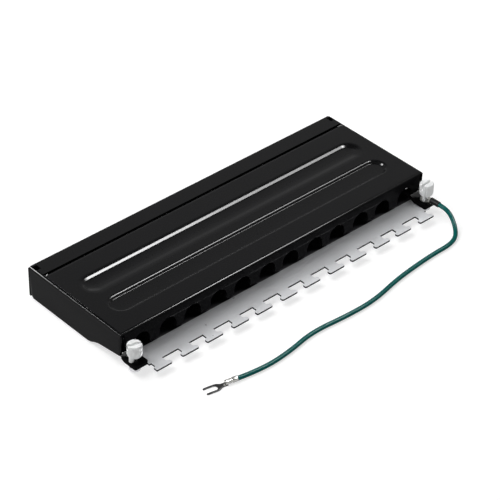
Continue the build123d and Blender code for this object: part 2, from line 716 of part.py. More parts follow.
def ring_terminal():
    """The flat ring under the right knob with its crimp barrel."""
    ring = Pos(0, 0, RING_THICK / 2) * Cylinder(RING_RADIUS, RING_THICK)
    axis_z = BOOT_GAP + BOOT_RADIUS
    tongue = block(0, BARREL_START + 1, -BARREL_RADIUS, BARREL_RADIUS, 0, RING_THICK)
    barrel = Pos(BARREL_START + BARREL_LENGTH / 2, 0, axis_z) * Rot(0, 90, 0) * Cylinder(
        BARREL_RADIUS, BARREL_LENGTH
    )
    web = block(BARREL_START, BARREL_START + 1, -BARREL_RADIUS, BARREL_RADIUS, 0, axis_z)
    hole = Cylinder(STUD_RADIUS + SCREW_HOLE_CLEARANCE, 4 * RING_THICK)
    return lead_place() * (ring + tongue + web + barrel - hole)


def terminal_boot():
    """The black sleeve over the ring terminal's barrel."""
    axis_z = BOOT_GAP + BOOT_RADIUS
    sleeve = Pos(BOOT_START + BOOT_LENGTH / 2, 0, axis_z) * Rot(0, 90, 0) * Cylinder(
        BOOT_RADIUS, BOOT_LENGTH
    )
    tail = sleeve.edges().sort_by(Axis.X)[-1]
    sleeve = fillet(tail, BOOT_ROUNDING)
    bore_end = BARREL_START + BARREL_LENGTH
    bore = Pos(bore_end / 2, 0, axis_z) * Rot(0, 90, 0) * Cylinder(BARREL_RADIUS, bore_end)
    web = block(0, BARREL_START + 1, -BARREL_RADIUS, BARREL_RADIUS, -1, axis_z)
    return lead_place() * (sleeve - bore - web)


def wire_route():
    """Points of the ground wire, from the sleeve's end to the spade terminal."""
    lean = radians(LEAD_ANGLE)
    start_z = EAR_TOP + BOOT_GAP + BOOT_RADIUS
    exit_reach = BOOT_START + BOOT_LENGTH
    first_reach = exit_reach + WIRE_STRAIGHT
    floor = WIRE_RADIUS
    return [
        (SCREW_X + exit_reach * sin(lean), SCREW_Y - exit_reach * cos(lean), start_z),
        (SCREW_X + first_reach * sin(lean), SCREW_Y - first_reach * cos(lean), start_z),
        (122.4, -65.6, 6.9),
        (119.6, -71.6, 3.2),
        (113.9, -77.3, floor),
        (105.0, -80.0, floor),
        (92.0, -79.9, floor),
        (74.0, -81.1, floor),
        (53.6, -83.4, floor),
        (30.0, -88.6, floor),
        (7.0, -88.6, floor),
        (-21.0, -85.8, floor),
        (-43.5, -90.2, floor),
        (-66.0, -91.4, floor),
        (-83.6, -87.9, floor),
    ]


def ground_wire():
    """The insulated wire as a round tube of straight runs and tangent arcs."""
    points = [Vector(*p) for p in wire_route()]
    runs = [(b - a).length for a, b in zip(points, points[1:])]
    radii = []
    for index in range(1, len(points) - 1):
        before = points[index] - points[index - 1]
        after = points[index + 1] - points[index]
        turn = before.get_angle(after)
        shorter = min(runs[index - 1], runs[index])
        radii.append(WIRE_BEND_SHARE * shorter / tan(radians(turn / 2)))
    path = FilletPolyline(*[tuple(p) for p in points], radius=radii)
    start = Plane(origin=points[0], z_dir=points[1] - points[0])
    wire = sweep(start * Circle(WIRE_RADIUS), path=path)
    print("wire runs", [round(r, 1) for r in runs])
    print("wire radii", [round(r, 1) for r in radii])
    print("wire length", round(path.length, 1))
    print("wire volume ratio", round(wire.volume / (pi * WIRE_RADIUS**2 * path.length), 4))
    return wire


def spade_terminal():
    """The crimped spade on the far end of the wire, lying on the wall plane."""
    points = wire_route()
    end = Vector(*points[-1])
    before = Vector(*points[-2])
    direction = end - before
    place = Plane(origin=(end.X, end.Y, 0), x_dir=direction, z_dir=(0, 0, 1))
    barrel = Pos(SPADE_BARREL_LENGTH / 2, 0, SPADE_BARREL_RADIUS) * Rot(0, 90, 0) * Cylinder(
        SPADE_BARREL_RADIUS, SPADE_BARREL_LENGTH
    )
    neck_end = SPADE_BARREL_LENGTH + SPADE_NECK_LENGTH
    fork_end = neck_end + SPADE_FORK_LENGTH
    slot_start = neck_end + SPADE_BRIDGE
    half_neck = SPADE_NECK_WIDTH / 2
    half_fork = SPADE_FORK_WIDTH / 2
    half_slot = SPADE_SLOT_WIDTH / 2
    outline = Polyline(
        (SPADE_BARREL_LENGTH - 2, -half_neck),
        (neck_end, -half_neck),
        (slot_start, -half_fork),
        (fork_end, -half_fork),
        (fork_end, half_fork),
        (slot_start, half_fork),
        (neck_end, half_neck),
        (SPADE_BARREL_LENGTH - 2, half_neck),
        close=True,
    )
    slot = Pos((slot_start + half_slot + fork_end + 1) / 2, 0) * Rectangle(
        fork_end + 1 - slot_start - half_slot, SPADE_SLOT_WIDTH
    )
    slot += Pos(slot_start + half_slot, 0) * Circle(half_slot)
    fork = extrude(make_face(outline) - slot, SPADE_THICK)
    return place.location * (barrel + fork)


def main():
    """Build each piece and write it to its own file."""
    save(base_plate(), "base_plate")
    save(front_frame(), "front_frame")
    save(top_cover(), "top_cover")
    save(cover_ear(-1), "cover_ear_left")
    save(cover_ear(1), "cover_ear_right")
    save(thumbscrew_knob(-SCREW_X, EAR_TOP), "thumbscrew_knob_left")
    save(thumbscrew_knob(SCREW_X, EAR_TOP + RING_THICK), "thumbscrew_knob_right")
    save(thumbscrew_stud(-SCREW_X, EAR_TOP), "thumbscrew_stud_left")
    save(thumbscrew_stud(SCREW_X, EAR_TOP + RING_THICK), "thumbscrew_stud_right")
    save(clinch_nuts(), "clinch_nuts")
    save(circuit_board(), "circuit_board")
    save(board_spacers(), "board_spacers")
    save(board_screws(), "board_screws")
    for number, x in enumerate(PORT_XS, start=1):
        save(jack_shield(x), f"jack_shield_{number:02d}")
        save(jack_insert(x), f"jack_insert_{number:02d}")
        save(punch_down_block(x), f"punch_down_block_{number:02d}")
    save(jack_contacts(), "jack_contacts")
    save(punch_down_blades(), "punch_down_blades")
    save(ring_terminal(), "ring_terminal")
    save(terminal_boot(), "terminal_boot")
    save(ground_wire(), "ground_wire")
    save(spade_terminal(), "spade_terminal")


main()
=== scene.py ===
"""Looks of a wall mount patch panel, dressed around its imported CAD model.

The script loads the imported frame, gives every node its finish, makes the pieces that need a
finer form than their CAD solids, and sets the studio, the lamps and the camera.
Lengths are in metres in the part's own frame: X along the case, +Y towards the jacks, +Z up.
"""

from __future__ import annotations

import json
import logging
import math
from dataclasses import dataclass
from enum import Enum
from typing import Iterable, Sequence, Union

import bmesh
import bpy
from mathutils import Matrix, Vector

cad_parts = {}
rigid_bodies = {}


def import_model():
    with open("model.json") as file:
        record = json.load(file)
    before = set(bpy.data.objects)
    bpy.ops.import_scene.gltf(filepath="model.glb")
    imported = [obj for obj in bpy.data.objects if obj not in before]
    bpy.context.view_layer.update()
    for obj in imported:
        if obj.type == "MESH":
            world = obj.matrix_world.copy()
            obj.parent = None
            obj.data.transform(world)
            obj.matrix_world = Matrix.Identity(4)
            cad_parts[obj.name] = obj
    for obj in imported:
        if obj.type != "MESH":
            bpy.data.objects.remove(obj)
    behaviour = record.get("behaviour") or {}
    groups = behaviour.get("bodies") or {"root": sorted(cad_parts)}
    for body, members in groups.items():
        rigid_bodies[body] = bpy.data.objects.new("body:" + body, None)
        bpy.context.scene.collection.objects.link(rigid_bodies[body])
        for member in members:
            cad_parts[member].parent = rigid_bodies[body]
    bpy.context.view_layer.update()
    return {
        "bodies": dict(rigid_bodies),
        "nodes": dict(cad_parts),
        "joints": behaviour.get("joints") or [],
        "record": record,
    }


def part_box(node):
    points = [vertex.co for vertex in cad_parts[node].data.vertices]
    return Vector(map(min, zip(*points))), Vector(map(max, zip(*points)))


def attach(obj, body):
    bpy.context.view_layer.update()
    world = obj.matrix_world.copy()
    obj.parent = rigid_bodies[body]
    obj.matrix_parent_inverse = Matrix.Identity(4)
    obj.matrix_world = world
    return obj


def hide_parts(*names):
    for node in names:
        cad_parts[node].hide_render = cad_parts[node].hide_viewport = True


LOG = logging.getLogger("patch_panel")

MM = 0.001

Color = tuple[float, float, float]
Point = tuple[float, float, float]


class Body(str, Enum):
    """The bodies of the frame that pieces ride on."""

    CASE = "case"
    LEFT_SCREW = "left_thumbscrew"
    RIGHT_SCREW = "right_thumbscrew"


class Value:
    """One output of a shader node, written into sums as if it were a number."""

    def __init__(self, tree: "ShaderTree", socket: bpy.types.NodeSocket) -> None:
        """Keeps the socket and the tree that it belongs to."""
        self.tree = tree
        self.socket = socket

    def _math(self, operation: str, *terms: "Term", clamp: bool = False) -> "Value":
        """Adds a Math node over these terms."""
        settings = {"operation": operation, "use_clamp": clamp}
        return self.tree.node("ShaderNodeMath", settings, dict(enumerate(terms)))

    def __add__(self, other: "Term") -> "Value":
        """This plus other."""
        return self._math("ADD", self, other)

    def __radd__(self, other: "Term") -> "Value":
        """Other plus this."""
        return self._math("ADD", other, self)

    def __sub__(self, other: "Term") -> "Value":
        """This minus other."""
        return self._math("SUBTRACT", self, other)

    def __rsub__(self, other: "Term") -> "Value":
        """Other minus this."""
        return self._math("SUBTRACT", other, self)

    def __mul__(self, other: "Term") -> "Value":
        """This times other."""
        return self._math("MULTIPLY", self, other)

    def __rmul__(self, other: "Term") -> "Value":
        """Other times this."""
        return self._math("MULTIPLY", other, self)

    def size(self) -> "Value":
        """The value without its sign."""
        return self._math("ABSOLUTE", self)

    def above(self, edge: float, softness: float) -> "Value":
        """A mask that goes from 0 to 1 as the value passes edge.

        Args:
            edge: The value at which the mask is one half.
            softness: The width of the change.

        Returns:
            The mask.
        """
        shifted = (self - (edge - softness / 2)) * (1 / softness)
        return self._math("MULTIPLY", shifted, 1.0, clamp=True)


Term = Union[Value, float]


class ShaderTree:
    """The node tree of one material, or of the world."""

    def __init__(self, owner: Union[bpy.types.Material, bpy.types.World]) -> None:
        """Empties the tree of its owner.

        Args:
            owner: The material or world that the tree belongs to.
        """
        self.owner = owner
        owner.use_nodes = True
        self.tree = owner.node_tree
        self.tree.nodes.clear()

    def feed(self, socket: bpy.types.NodeSocket, term: object) -> None:
        """Sets a socket to a number or colour, or links a value to it.

        Args:
            socket: The socket.
            term: The number, colour or value that it gets.
        """
        if isinstance(term, Value):
            self.tree.links.new(term.socket, socket)
        elif socket.type == "RGBA":
            socket.default_value = (*term[:3], 1.0)
        else:
            socket.default_value = term

    def node(
        self,
        kind: str,
        settings: dict[str, object] | None = None,
        inputs: dict[Union[str, int], object] | None = None,
        output: Union[str, int] = 0,
    ) -> Value:
        """Adds a node.

        Args:
            kind: The node's type.
            settings: Its own settings, set first; "stops" holds a ramp's places and colours.
            inputs: What its sockets get, by name or number.
            output: The output that the value stands for.

        Returns:
            The chosen output.
        """
        made = self.tree.nodes.new(kind)
        for name, setting in (settings or {}).items():
            if name == "stops":
                self.set_stops(made.color_ramp, setting)
            else:
                setattr(made, name, setting)
        for key, term in (inputs or {}).items():
            self.feed(made.inputs[key], term)
        return Value(self, made.outputs[output])

    @staticmethod
    def set_stops(ramp: bpy.types.ColorRamp, stops: Sequence[tuple[float, Color]]) -> None:
        """Puts stops on a ramp that starts with two of them.

        Args:
            ramp: The ramp of a new node.
            stops: The place and colour of each stop.
        """
        while len(ramp.elements) < len(stops):
            ramp.elements.new(1.0)
        for element, (place, color) in zip(ramp.elements, stops):
            element.position = place
            element.color = (*color, 1.0)

    def place(self) -> Value:
        """The point being shaded, in object coordinates."""
        return self.node("ShaderNodeTexCoord", output="Object")

    def part(self, vector: Value, axis: str) -> Value:
        """One number of a vector."""
        return self.node("ShaderNodeSeparateXYZ", inputs={0: vector}, output=axis)

    def facing(self, axis: str) -> Value:
        """How much the surface faces along an axis of the object, from -1 to 1."""
        return self.part(self.node("ShaderNodeTexCoord", output="Normal"), axis)

    def noise(self, size: float, detail: float = 3.0, stretch: Point = (1.0, 1.0, 1.0)) -> Value:
        """Noise whose blotches are about this large.

        Args:
            size: The size of a blotch in metres.
            detail: How many finer layers it has.
            stretch: How much longer the blotches are along each axis.

        Returns:
            A value between 0 and 1.
        """
        scale = tuple(1.0 / s for s in stretch)
        point = self.node("ShaderNodeMapping", inputs={"Vector": self.place(), "Scale": scale})
        return self.node(
            "ShaderNodeTexNoise", inputs={"Vector": point, "Scale": 1.0 / size, "Detail": detail}
        )

    def mix(self, factor: Term, first: object, second: object) -> Value:
        """A colour between two others."""
        inputs = {0: factor, 6: first, 7: second}
        return self.node("ShaderNodeMix", {"data_type": "RGBA"}, inputs, output=2)

    def bump(self, height: Term, depth: float) -> Value:
        """A normal that follows a height between 0 and 1, this many metres deep."""
        inputs = {"Height": height, "Distance": depth, "Strength": 1.0}
        return self.node("ShaderNodeBump", inputs=inputs)

    def finish(self, shader: Value) -> Union[bpy.types.Material, bpy.types.World]:
        """Ends the tree with its surface.

        Args:
            shader: The shader that the surface shows.

        Returns:
            The material or world, ready for use.
        """
        is_world = isinstance(self.owner, bpy.types.World)
        kind = "ShaderNodeOutputWorld" if is_world else "ShaderNodeOutputMaterial"
        output = self.tree.nodes.new(kind)
        self.tree.links.new(shader.socket, output.inputs["Surface"])
        return self.owner


@dataclass(frozen=True)
class Finish:
    """A surface of the object: a colour with soft blotches, a gloss that varies, and a grain."""

    slot: str
    color: Color
    roughness: float
    metallic: float = 0.0
    blotch: float = 0.12
    blotch_size: float = 0.02
    rough_range: float = 0.06
    grain_size: float = 0.0006
    grain_depth: float = 0.000004
    stretch: Point = (1.0, 1.0, 1.0)
    coat: float = 0.0
    coat_roughness: float = 0.03
    specular: float = 0.5

    def shades(self) -> tuple[Color, Color]:
        """How dark and how light the blotches get.

        Returns:
            The darker and the lighter colour.
        """
        darker = tuple(c * (1 - self.blotch) for c in self.color)
        lighter = tuple(min(1.0, c * (1 + self.blotch)) for c in self.color)
        return darker, lighter

    def colors(self, tree: ShaderTree) -> Value:
        """The colour over the surface."""
        return tree.mix(tree.noise(self.blotch_size, stretch=self.stretch), *self.shades())

    def gloss(self, tree: ShaderTree) -> Value:
        """The roughness over the surface."""
        smear = tree.noise(self.blotch_size / 2, detail=5.0, stretch=self.stretch)
        return smear * (2 * self.rough_range) + (self.roughness - self.rough_range)

    def relief(self, tree: ShaderTree) -> Value:
        """The fine grain as a bumped normal."""
        return tree.bump(tree.noise(self.grain_size, detail=2.0), self.grain_depth)

    def sockets(self, tree: ShaderTree) -> dict[str, object]:
        """What the sockets of the surface's shader get.

        Args:
            tree: The tree that the nodes are added to.

        Returns:
            A value or link for each socket, by its name.
        """
        return {
            "Base Color": self.colors(tree),
            "Roughness": self.gloss(tree),
            "Metallic": self.metallic,
            "Normal": self.relief(tree),
            "Coat Weight": self.coat,
            "Specular IOR Level": self.specular,
        }

    def material(self) -> bpy.types.Material:
        """Makes the material.

        Returns:
            The material, named after its slot.
        """
        tree = ShaderTree(bpy.data.materials.new(self.slot))
        return tree.finish(tree.node("ShaderNodeBsdfPrincipled", inputs=self.sockets(tree)))


@dataclass(frozen=True)
class PowderCoat(Finish):
    """Satin black powder coat with a faint orange peel and a little dust.

    The spray comes from above and behind, so the coat is thinner and duller on upright faces,
    and most so in front of the flange.
    """

    dust_color: Color = (0.09, 0.09, 0.095)
    dust: float = 0.10  # how strong it is where it lies
    speck_size: float = 0.9 * MM
    dust_patch_size: float = 30 * MM
    peel_size: float = 1.6 * MM
    peel_share: float = 0.7  # of the relief, against the fine grain
    dull_from: float = -33.4 * MM  # the flange's outer face
    thin: float = 0.07  # the glossy layer in front of the flange
    upright: float = 0.30  # the glossy layer on upright faces
    coat_ior: float = 1.23

    def sockets(self, tree: ShaderTree) -> dict[str, object]:
        """Adds the glossy top layer of the coat, with its own thickness over the surface.

        Args:
            tree: The tree that the nodes are added to.

        Returns:
            A value or link for each socket, by its name.
        """
        behind = tree.part(tree.place(), "Y").above(self.dull_from, softness=0.2 * MM)
        level = tree.facing("Z").size().above(0.3, softness=0.3)
        full = behind * (level * (1.0 - self.upright) + self.upright)
        return {
            **super().sockets(tree),
            "Coat Weight": full * (1.0 - self.thin) + self.thin,
            "Coat Roughness": self.coat_roughness,
            "Coat IOR": self.coat_ior,
        }

    def colors(self, tree: ShaderTree) -> Value:
        """The coat's colour, with dust where two noises meet.

        Args:
            tree: The tree that the nodes are added to.

        Returns:
            The colour.
        """
        specks = tree.noise(self.speck_size, detail=2.0).above(0.74, softness=0.06)
        patches = tree.noise(self.dust_patch_size).above(0.5, softness=0.3)
        return tree.mix(specks * patches * self.dust, super().colors(tree), self.dust_color)

    def relief(self, tree: ShaderTree) -> Value:
        """Orange peel: soft low waves under a fine grain.

        Args:
            tree: The tree that the nodes are added to.

        Returns:
            The bumped normal.
        """
        waves = tree.noise(self.peel_size, detail=1.0)
        grain = tree.noise(self.grain_size, detail=2.0)
        height = waves * self.peel_share + grain * (1 - self.peel_share)
        return tree.bump(height, self.grain_depth)


@dataclass(frozen=True)
class ZincPlate(Finish):
    """Zinc-plated sheet: pale metal, with cloudy patches and rolling marks along its length."""

    cloud_size: float = 14 * MM
    mark_width: float = 0.5 * MM
    mark_length: float = 30.0  # times the width
    mark_share: float = 0.15  # of the relief, against the sheet's waves
    # painted shade: upright faces of the tabs in front of the cover are near-black, partly as unplated steel
    # of the sheared edges
    painted_edge_shade: Color = (0.006, 0.006, 0.007)
    edge_roughness: float = 0.6
    # painted shade: the sheet under the cover is made dark and metallic, as the shade inside the case
    painted_shade_under_cover: Color = (0.10, 0.10, 0.11)
    cut_from: float = -33.0 * MM  # the sheared edges that show are in front of this
    inside_from: float = -32.5 * MM  # the cover hides the sheet behind this

    def painted_dark_edge_mask(self, tree: ShaderTree) -> Value:
        """A mask of the sheared edges, which are painted near-black, partly as unplated steel and partly as
        painted shade: upright faces in front of the cover.

        Args:
            tree: The tree that the nodes are added to.

        Returns:
            The mask.
        """
        upright = 1.0 - tree.facing("Z").size().above(0.6, softness=0.2)
        in_front = 1.0 - tree.part(tree.place(), "Y").above(self.cut_from, softness=1 * MM)
        return upright * in_front

    @staticmethod
    def _larger(first: Value, second: Value) -> Value:
        """The larger of two masks."""
        return first.tree.node("ShaderNodeMath", {"operation": "MAXIMUM"}, {0: first, 1: second})

    def inside(self, tree: ShaderTree) -> Value:
        """A mask of the sheet under the cover, which is painted dark as shade."""
        return tree.part(tree.place(), "Y").above(self.inside_from, softness=0.6 * MM)

    def colors(self, tree: ShaderTree) -> Value:
        """Clouds of lighter and darker plating, painted shade on the sheet under the cover, and sheared edges
        painted near-black, partly as unplated steel and partly as painted shade.

        Args:
            tree: The tree that the nodes are added to.

        Returns:
            The colour.
        """
        clouds = tree.noise(self.cloud_size, detail=4.0, stretch=(1.6, 1.0, 1.0))
        sheet = tree.mix(clouds.above(0.5, softness=0.5), *self.shades())
        # paints the shade inside the case on the sheet under the cover
        sheet = tree.mix(self.inside(tree), sheet, self.painted_shade_under_cover)
        # paints the sheared edges near-black, partly unplated steel and partly painted shade
        return tree.mix(self.painted_dark_edge_mask(tree), sheet, self.painted_edge_shade)

    def sockets(self, tree: ShaderTree) -> dict[str, object]:
        """Makes the sheared edges and the sheet under the cover dark metal, which paints shade on them; on
        the edges it is partly unplated steel too.

        Args:
            tree: The tree that the nodes are added to.

        Returns:
            A value or link for each socket, by its name.
        """
        painted_dark_edges = self.painted_dark_edge_mask(tree)
        # the sheared edges and the sheet under the cover become dark metal: painted shade
        painted_dark_metal = self._larger(painted_dark_edges, self.inside(tree))
        return {
            **super().sockets(tree),
            "Metallic": painted_dark_metal * (1.0 - self.metallic) + self.metallic,
            "Roughness": self.gloss(tree) * (1.0 - painted_dark_edges) + painted_dark_edges * self.edge_roughness,
        }

    def relief(self, tree: ShaderTree) -> Value:
        """Fine rolling marks and a slow waviness of the sheet.

        Args:
            tree: The tree that the nodes are added to.

        Returns:
            The bumped normal.
        """
        marks = tree.noise(self.mark_width, stretch=(self.mark_length, 1.0, 1.0))
        waves = tree.noise(self.cloud_size, detail=1.0)
        height = marks * self.mark_share + waves * (1 - self.mark_share)
        return tree.bump(height, self.grain_depth)


@dataclass(frozen=True)
class ClearNylon(Finish):
    """Frosted clear plastic that lets light through."""

    transmission: float = 0.12
    ior: float = 1.45

    def sockets(self, tree: ShaderTree) -> dict[str, object]:
        """Adds the light that goes through to the sockets of a plain finish.

        Args:
            tree: The tree that the nodes are added to.

        Returns:
            A value or link for each socket, by its name.
        """
        return {
            **super().sockets(tree),
            "Transmission Weight": self.transmission,
            "IOR": self.ior,
        }


@dataclass(frozen=True)
class Insulation(Finish):
    """Smooth extruded wire insulation, slightly cloudy along its length."""

    wave_size: float = 2.2 * MM

    def relief(self, tree: ShaderTree) -> Value:
        """Shallow waves left by the extrusion."""
        return tree.bump(tree.noise(self.wave_size, detail=1.0), self.grain_depth)


@dataclass(frozen=True)
class TinWithPaintedDarkFork(Finish):
    """Tinned metal, bright on the crimps, with a painted dark reflection on the flat fork that lies on the
    ground.
    """

    # painted reflection: the flat fork low down is made near-black, standing in for the dark it mirrors
    painted_fork_reflection: Color = (0.06, 0.06, 0.06)
    flat_top: float = 1.1 * MM  # just above the fork

    def colors(self, tree: ShaderTree) -> Value:
        """The tin's colour, painted near-black low down as the flat fork's dark reflection."""
        raised = tree.part(tree.place(), "Z").above(self.flat_top, softness=0.4 * MM)
        # paints the dark reflection on the fork, below flat_top
        return tree.mix(raised, self.painted_fork_reflection, super().colors(tree))


class Finishes:
    """All finishes of the object, each made once."""

    BLACK = PowderCoat(
        "black_coat",
        (0.0045, 0.0045, 0.005),
        0.42,
        rough_range=0.03,
        grain_depth=0.0005 * MM,
        coat_roughness=0.17,
        specular=0.0,
    )
    ZINC = ZincPlate(
        "zinc_sheet",
        (0.85, 0.86, 0.88),
        0.30,
        metallic=0.42,
        blotch=0.06,
        rough_range=0.06,
        grain_depth=0.03 * MM,
    )
    CLEAR = ClearNylon("clear_plastic", (0.95, 0.96, 0.96), 0.33, blotch=0.03, grain_depth=0.01 * MM)
    STEEL = Finish("plated_steel", (0.60, 0.60, 0.62), 0.28, metallic=1.0)
    BOARD = Finish("board_green", (0.02, 0.16, 0.07), 0.35, coat=0.3)
    JACK_METAL = Finish("jack_metal", (0.66, 0.66, 0.67), 0.30, metallic=1.0)
    JACK_PLASTIC = Finish("jack_plastic", (0.02, 0.02, 0.021), 0.42)
    BLOCK = Finish("block_plastic", (0.72, 0.72, 0.69), 0.40)
    GOLD = Finish("gold_contact", (0.83, 0.60, 0.24), 0.22, metallic=1.0)
    # the terminal's flat fork gets a painted dark reflection
    TIN = TinWithPaintedDarkFork(
        "tinned_terminal", (0.42, 0.42, 0.40), 0.30, metallic=1.0, blotch=0.20, blotch_size=3 * MM
    )
    SLEEVE = Finish("black_sleeve", (0.007, 0.007, 0.008), 0.48, grain_depth=0.008 * MM, specular=0.12)
    WIRE = Insulation(
        "wire_green",
        (0.0, 0.10, 0.09),
        0.22,
        blotch=0.10,
        blotch_size=9 * MM,
        grain_depth=0.01 * MM,
        specular=0.06,
    )

    def __init__(self) -> None:
        """Makes the materials and keeps them by slot."""
        known = (f for f in vars(type(self)).values() if isinstance(f, Finish))
        self.by_slot = {f.slot: f.material() for f in known}

    def of(self, finish: Finish) -> bpy.types.Material:
        """The material of a finish."""
        return self.by_slot[finish.slot]

    def dress_frame(self, frame: dict) -> None:
        """Gives every CAD node the material that the record names for it.
        """
        for part in frame["record"]["subparts"]:
            materials = frame["nodes"][part["node"]].data.materials
            materials.clear()
            materials.append(self.by_slot[part["material_slot"]])


def new_piece(name: str, data: bpy.types.ID) -> bpy.types.Object:
    """Puts a mesh or curve into the scene, at the origin.

    Args:
        name: The piece's name.
        data: Its mesh or curve, with its place already in it.

    Returns:
        The piece.
    """
    piece = bpy.data.objects.new(name, data)
    bpy.context.scene.collection.objects.link(piece)
    return piece


def piece_of(
    mesh: bmesh.types.BMesh, name: str, material: bpy.types.Material, place: Matrix | None = None
) -> bpy.types.Object:
    """Ends a mesh that was being built and makes a piece of it.

    Args:
        mesh: The mesh, which is freed.
        name: The piece's name.
        material: Its material.
        place: Where its points go, if they aren't there already.

    Returns:
        The piece.
    """
    data = bpy.data.meshes.new(name)
    mesh.to_mesh(data)
    mesh.free()
    if place is not None:
        data.transform(place)
    data.materials.append(material)
    return new_piece(name, data)


def apply_modifiers(piece: bpy.types.Object) -> None:
    """Keeps the result of the modifiers as the piece's own mesh and removes them.

    Args:
        piece: The piece.
    """
    bpy.context.view_layer.update()
    graph = bpy.context.evaluated_depsgraph_get()
    mesh = bpy.data.meshes.new_from_object(piece.evaluated_get(graph), depsgraph=graph)
    piece.modifiers.clear()
    piece.data = mesh


def smooth_by_angle(mesh: bpy.types.Mesh, degrees: float) -> None:
    """Smooth shading, with sharp edges where faces meet at more than this angle."""
    mesh.shade_smooth()
    mesh.set_sharp_from_angle(angle=math.radians(degrees))


def soften_edges(piece: bpy.types.Object, width: float, degrees: float) -> None:
    """Bevels the sharp edges of a piece and smooths what is left.

    Args:
        piece: The piece.
        width: The width of the bevel in metres.
        degrees: Faces that meet at more than this angle keep a sharp edge.
    """
    bevel = piece.modifiers.new("soft edges", "BEVEL")
    bevel.width = width
    bevel.segments = 2
    bevel.limit_method = "ANGLE"
    bevel.angle_limit = math.radians(50)
    apply_modifiers(piece)
    smooth_by_angle(piece.data, degrees)


def stack_rings(mesh: bmesh.types.BMesh, rings: Sequence[Sequence[Point]]) -> None:
    """Joins rings of points into one closed solid.

    Args:
        mesh: The mesh that gets the faces.
        rings: Rings with the same number of points, from one end to the other.
    """
    rows = [[mesh.verts.new(point) for point in ring] for ring in rings]
    for lower, upper in zip(rows, rows[1:]):
        for n in range(len(lower)):
            m = (n + 1) % len(lower)
            mesh.faces.new((lower[n], lower[m], upper[m], upper[n]))
    mesh.faces.new(list(reversed(rows[0])))
    mesh.faces.new(rows[-1])


class GeometryTree:
    """A Geometry Nodes group with named inputs that ends in plain, dressed geometry."""

    KINDS = {float: "NodeSocketFloat", int: "NodeSocketInt"}

    def __init__(self, name: str, sizes: dict[str, Union[float, int]]) -> None:
        """Makes the group.

        Args:
            name: The group's name.
            sizes: Its named inputs and their values.
        """
        self.group = bpy.data.node_groups.new(name, "GeometryNodeTree")
        face = self.group.interface
        face.new_socket("Geometry", in_out="INPUT", socket_type="NodeSocketGeometry")
        self.identifiers: dict[str, str] = {}
        self.sizes = sizes
        for label, size in sizes.items():
            socket = face.new_socket(label, in_out="INPUT", socket_type=self.KINDS[type(size)])
            self.identifiers[label] = socket.identifier
        face.new_socket("Geometry", in_out="OUTPUT", socket_type="NodeSocketGeometry")
        self.input = self.group.nodes.new("NodeGroupInput")

    def size(self, label: str) -> bpy.types.NodeSocket:
        """The named input as a socket to link from."""
        return self.input.outputs[label]

    def node(
        self,
        kind: str,
        settings: dict[str, object] | None = None,
        inputs: dict[Union[str, int], object] | None = None,
        output: Union[str, int] = 0,
    ) -> bpy.types.NodeSocket:
        """Adds a node, in the same way as a shader tree does.

        Args:
            kind: The node's type.
            settings: Its own settings, set first.
            inputs: Values or links of its sockets.
            output: The output that is wanted.

        Returns:
            The chosen output socket.
        """
        made = self.group.nodes.new(kind)
        for name, setting in (settings or {}).items():
            setattr(made, name, setting)
        for key, term in (inputs or {}).items():
            if isinstance(term, bpy.types.NodeSocket):
                self.group.links.new(term, made.inputs[key])
            else:
                made.inputs[key].default_value = term
        return made.outputs[output]

    def vector(self, x: object = 0.0, y: object = 0.0, z: object = 0.0) -> bpy.types.NodeSocket:
        """A vector from three numbers or sockets."""
        return self.node("ShaderNodeCombineXYZ", inputs={0: x, 1: y, 2: z})

    def times(self, first: object, second: object) -> bpy.types.NodeSocket:
        """The product of two numbers or sockets."""
        return self.node("ShaderNodeMath", {"operation": "MULTIPLY"}, {0: first, 1: second})

    def end(self, geometry: bpy.types.NodeSocket, material: bpy.types.Material) -> None:
        """Realizes the instances, sets the material and closes the tree.

        Args:
            geometry: What the tree has made.
            material: The material that it ends with.
        """
        real = self.node("GeometryNodeRealizeInstances", inputs={"Geometry": geometry})
        dressed = self.node("GeometryNodeSetMaterial", inputs={"Geometry": real, "Material": material})
        output = self.group.nodes.new("NodeGroupOutput")
        self.group.links.new(dressed, output.inputs["Geometry"])

    def grow(self, name: str, places: Iterable[Point], material: bpy.types.Material) -> bpy.types.Object:
        """Runs the tree on these places and keeps the result as a plain piece.

        Args:
            name: The piece's name.
            places: The points that the tree repeats its pattern on.
            material: The material that the piece ends with.

        Returns:
            The piece.
        """
        mesh = bpy.data.meshes.new(name)
        mesh.from_pydata([tuple(p) for p in places], [], [])
        piece = new_piece(name, mesh)
        modifier = piece.modifiers.new(name, "NODES")
        modifier.node_group = self.group
        for label, size in self.sizes.items():
            modifier[self.identifiers[label]] = size
        apply_modifiers(piece)
        if not piece.data.materials:
            piece.data.materials.append(material)
        return piece


@dataclass(frozen=True)
class Bead:
    """A pressed bead of the cover. A wall is given by its tilt at distances from the middle."""

    middle: float
    depth: float
    far: tuple[tuple[float, float], ...]  # distance in millimetres, tilt in degrees
    near: tuple[tuple[float, float], ...]

    @property
    def reach(self) -> float:
        """How far the bead's outer edge is from its middle."""
        return max(self.far[-1][0], self.near[-1][0]) * MM

    @staticmethod
    def _tilt(stations: Sequence[tuple[float, float]], distance: float) -> float:
        """How steep the wall is at a distance from the middle.

        Args:
            stations: The wall's tilts.
            distance: The distance in millimetres.

        Returns:
            The slope, as rise over run.
        """
        for (start, first), (end, second) in zip(stations, stations[1:]):
            if start <= distance <= end:
                share = (distance - start) / (end - start)
                return math.tan(math.radians(first + (second - first) * share))
        return 0.0

    def fall(self, stations: Sequence[tuple[float, float]], distances: Sequence[float]) -> list[float]:
        """How deep the wall is at each distance, scaled so that its foot has the bead's depth.

        Args:
            stations: The wall's tilts.
            distances: Growing distances from the middle, in metres.

        Returns:
            The depths.
        """
        depths = [0.0]
        for inner, outer in zip(reversed(distances[:-1]), reversed(distances[1:])):
            slope = self._tilt(stations, (inner + outer) / 2 / MM)
            depths.append(depths[-1] + slope * (outer - inner))
        depths.reverse()
        return [d * self.depth / depths[0] for d in depths]


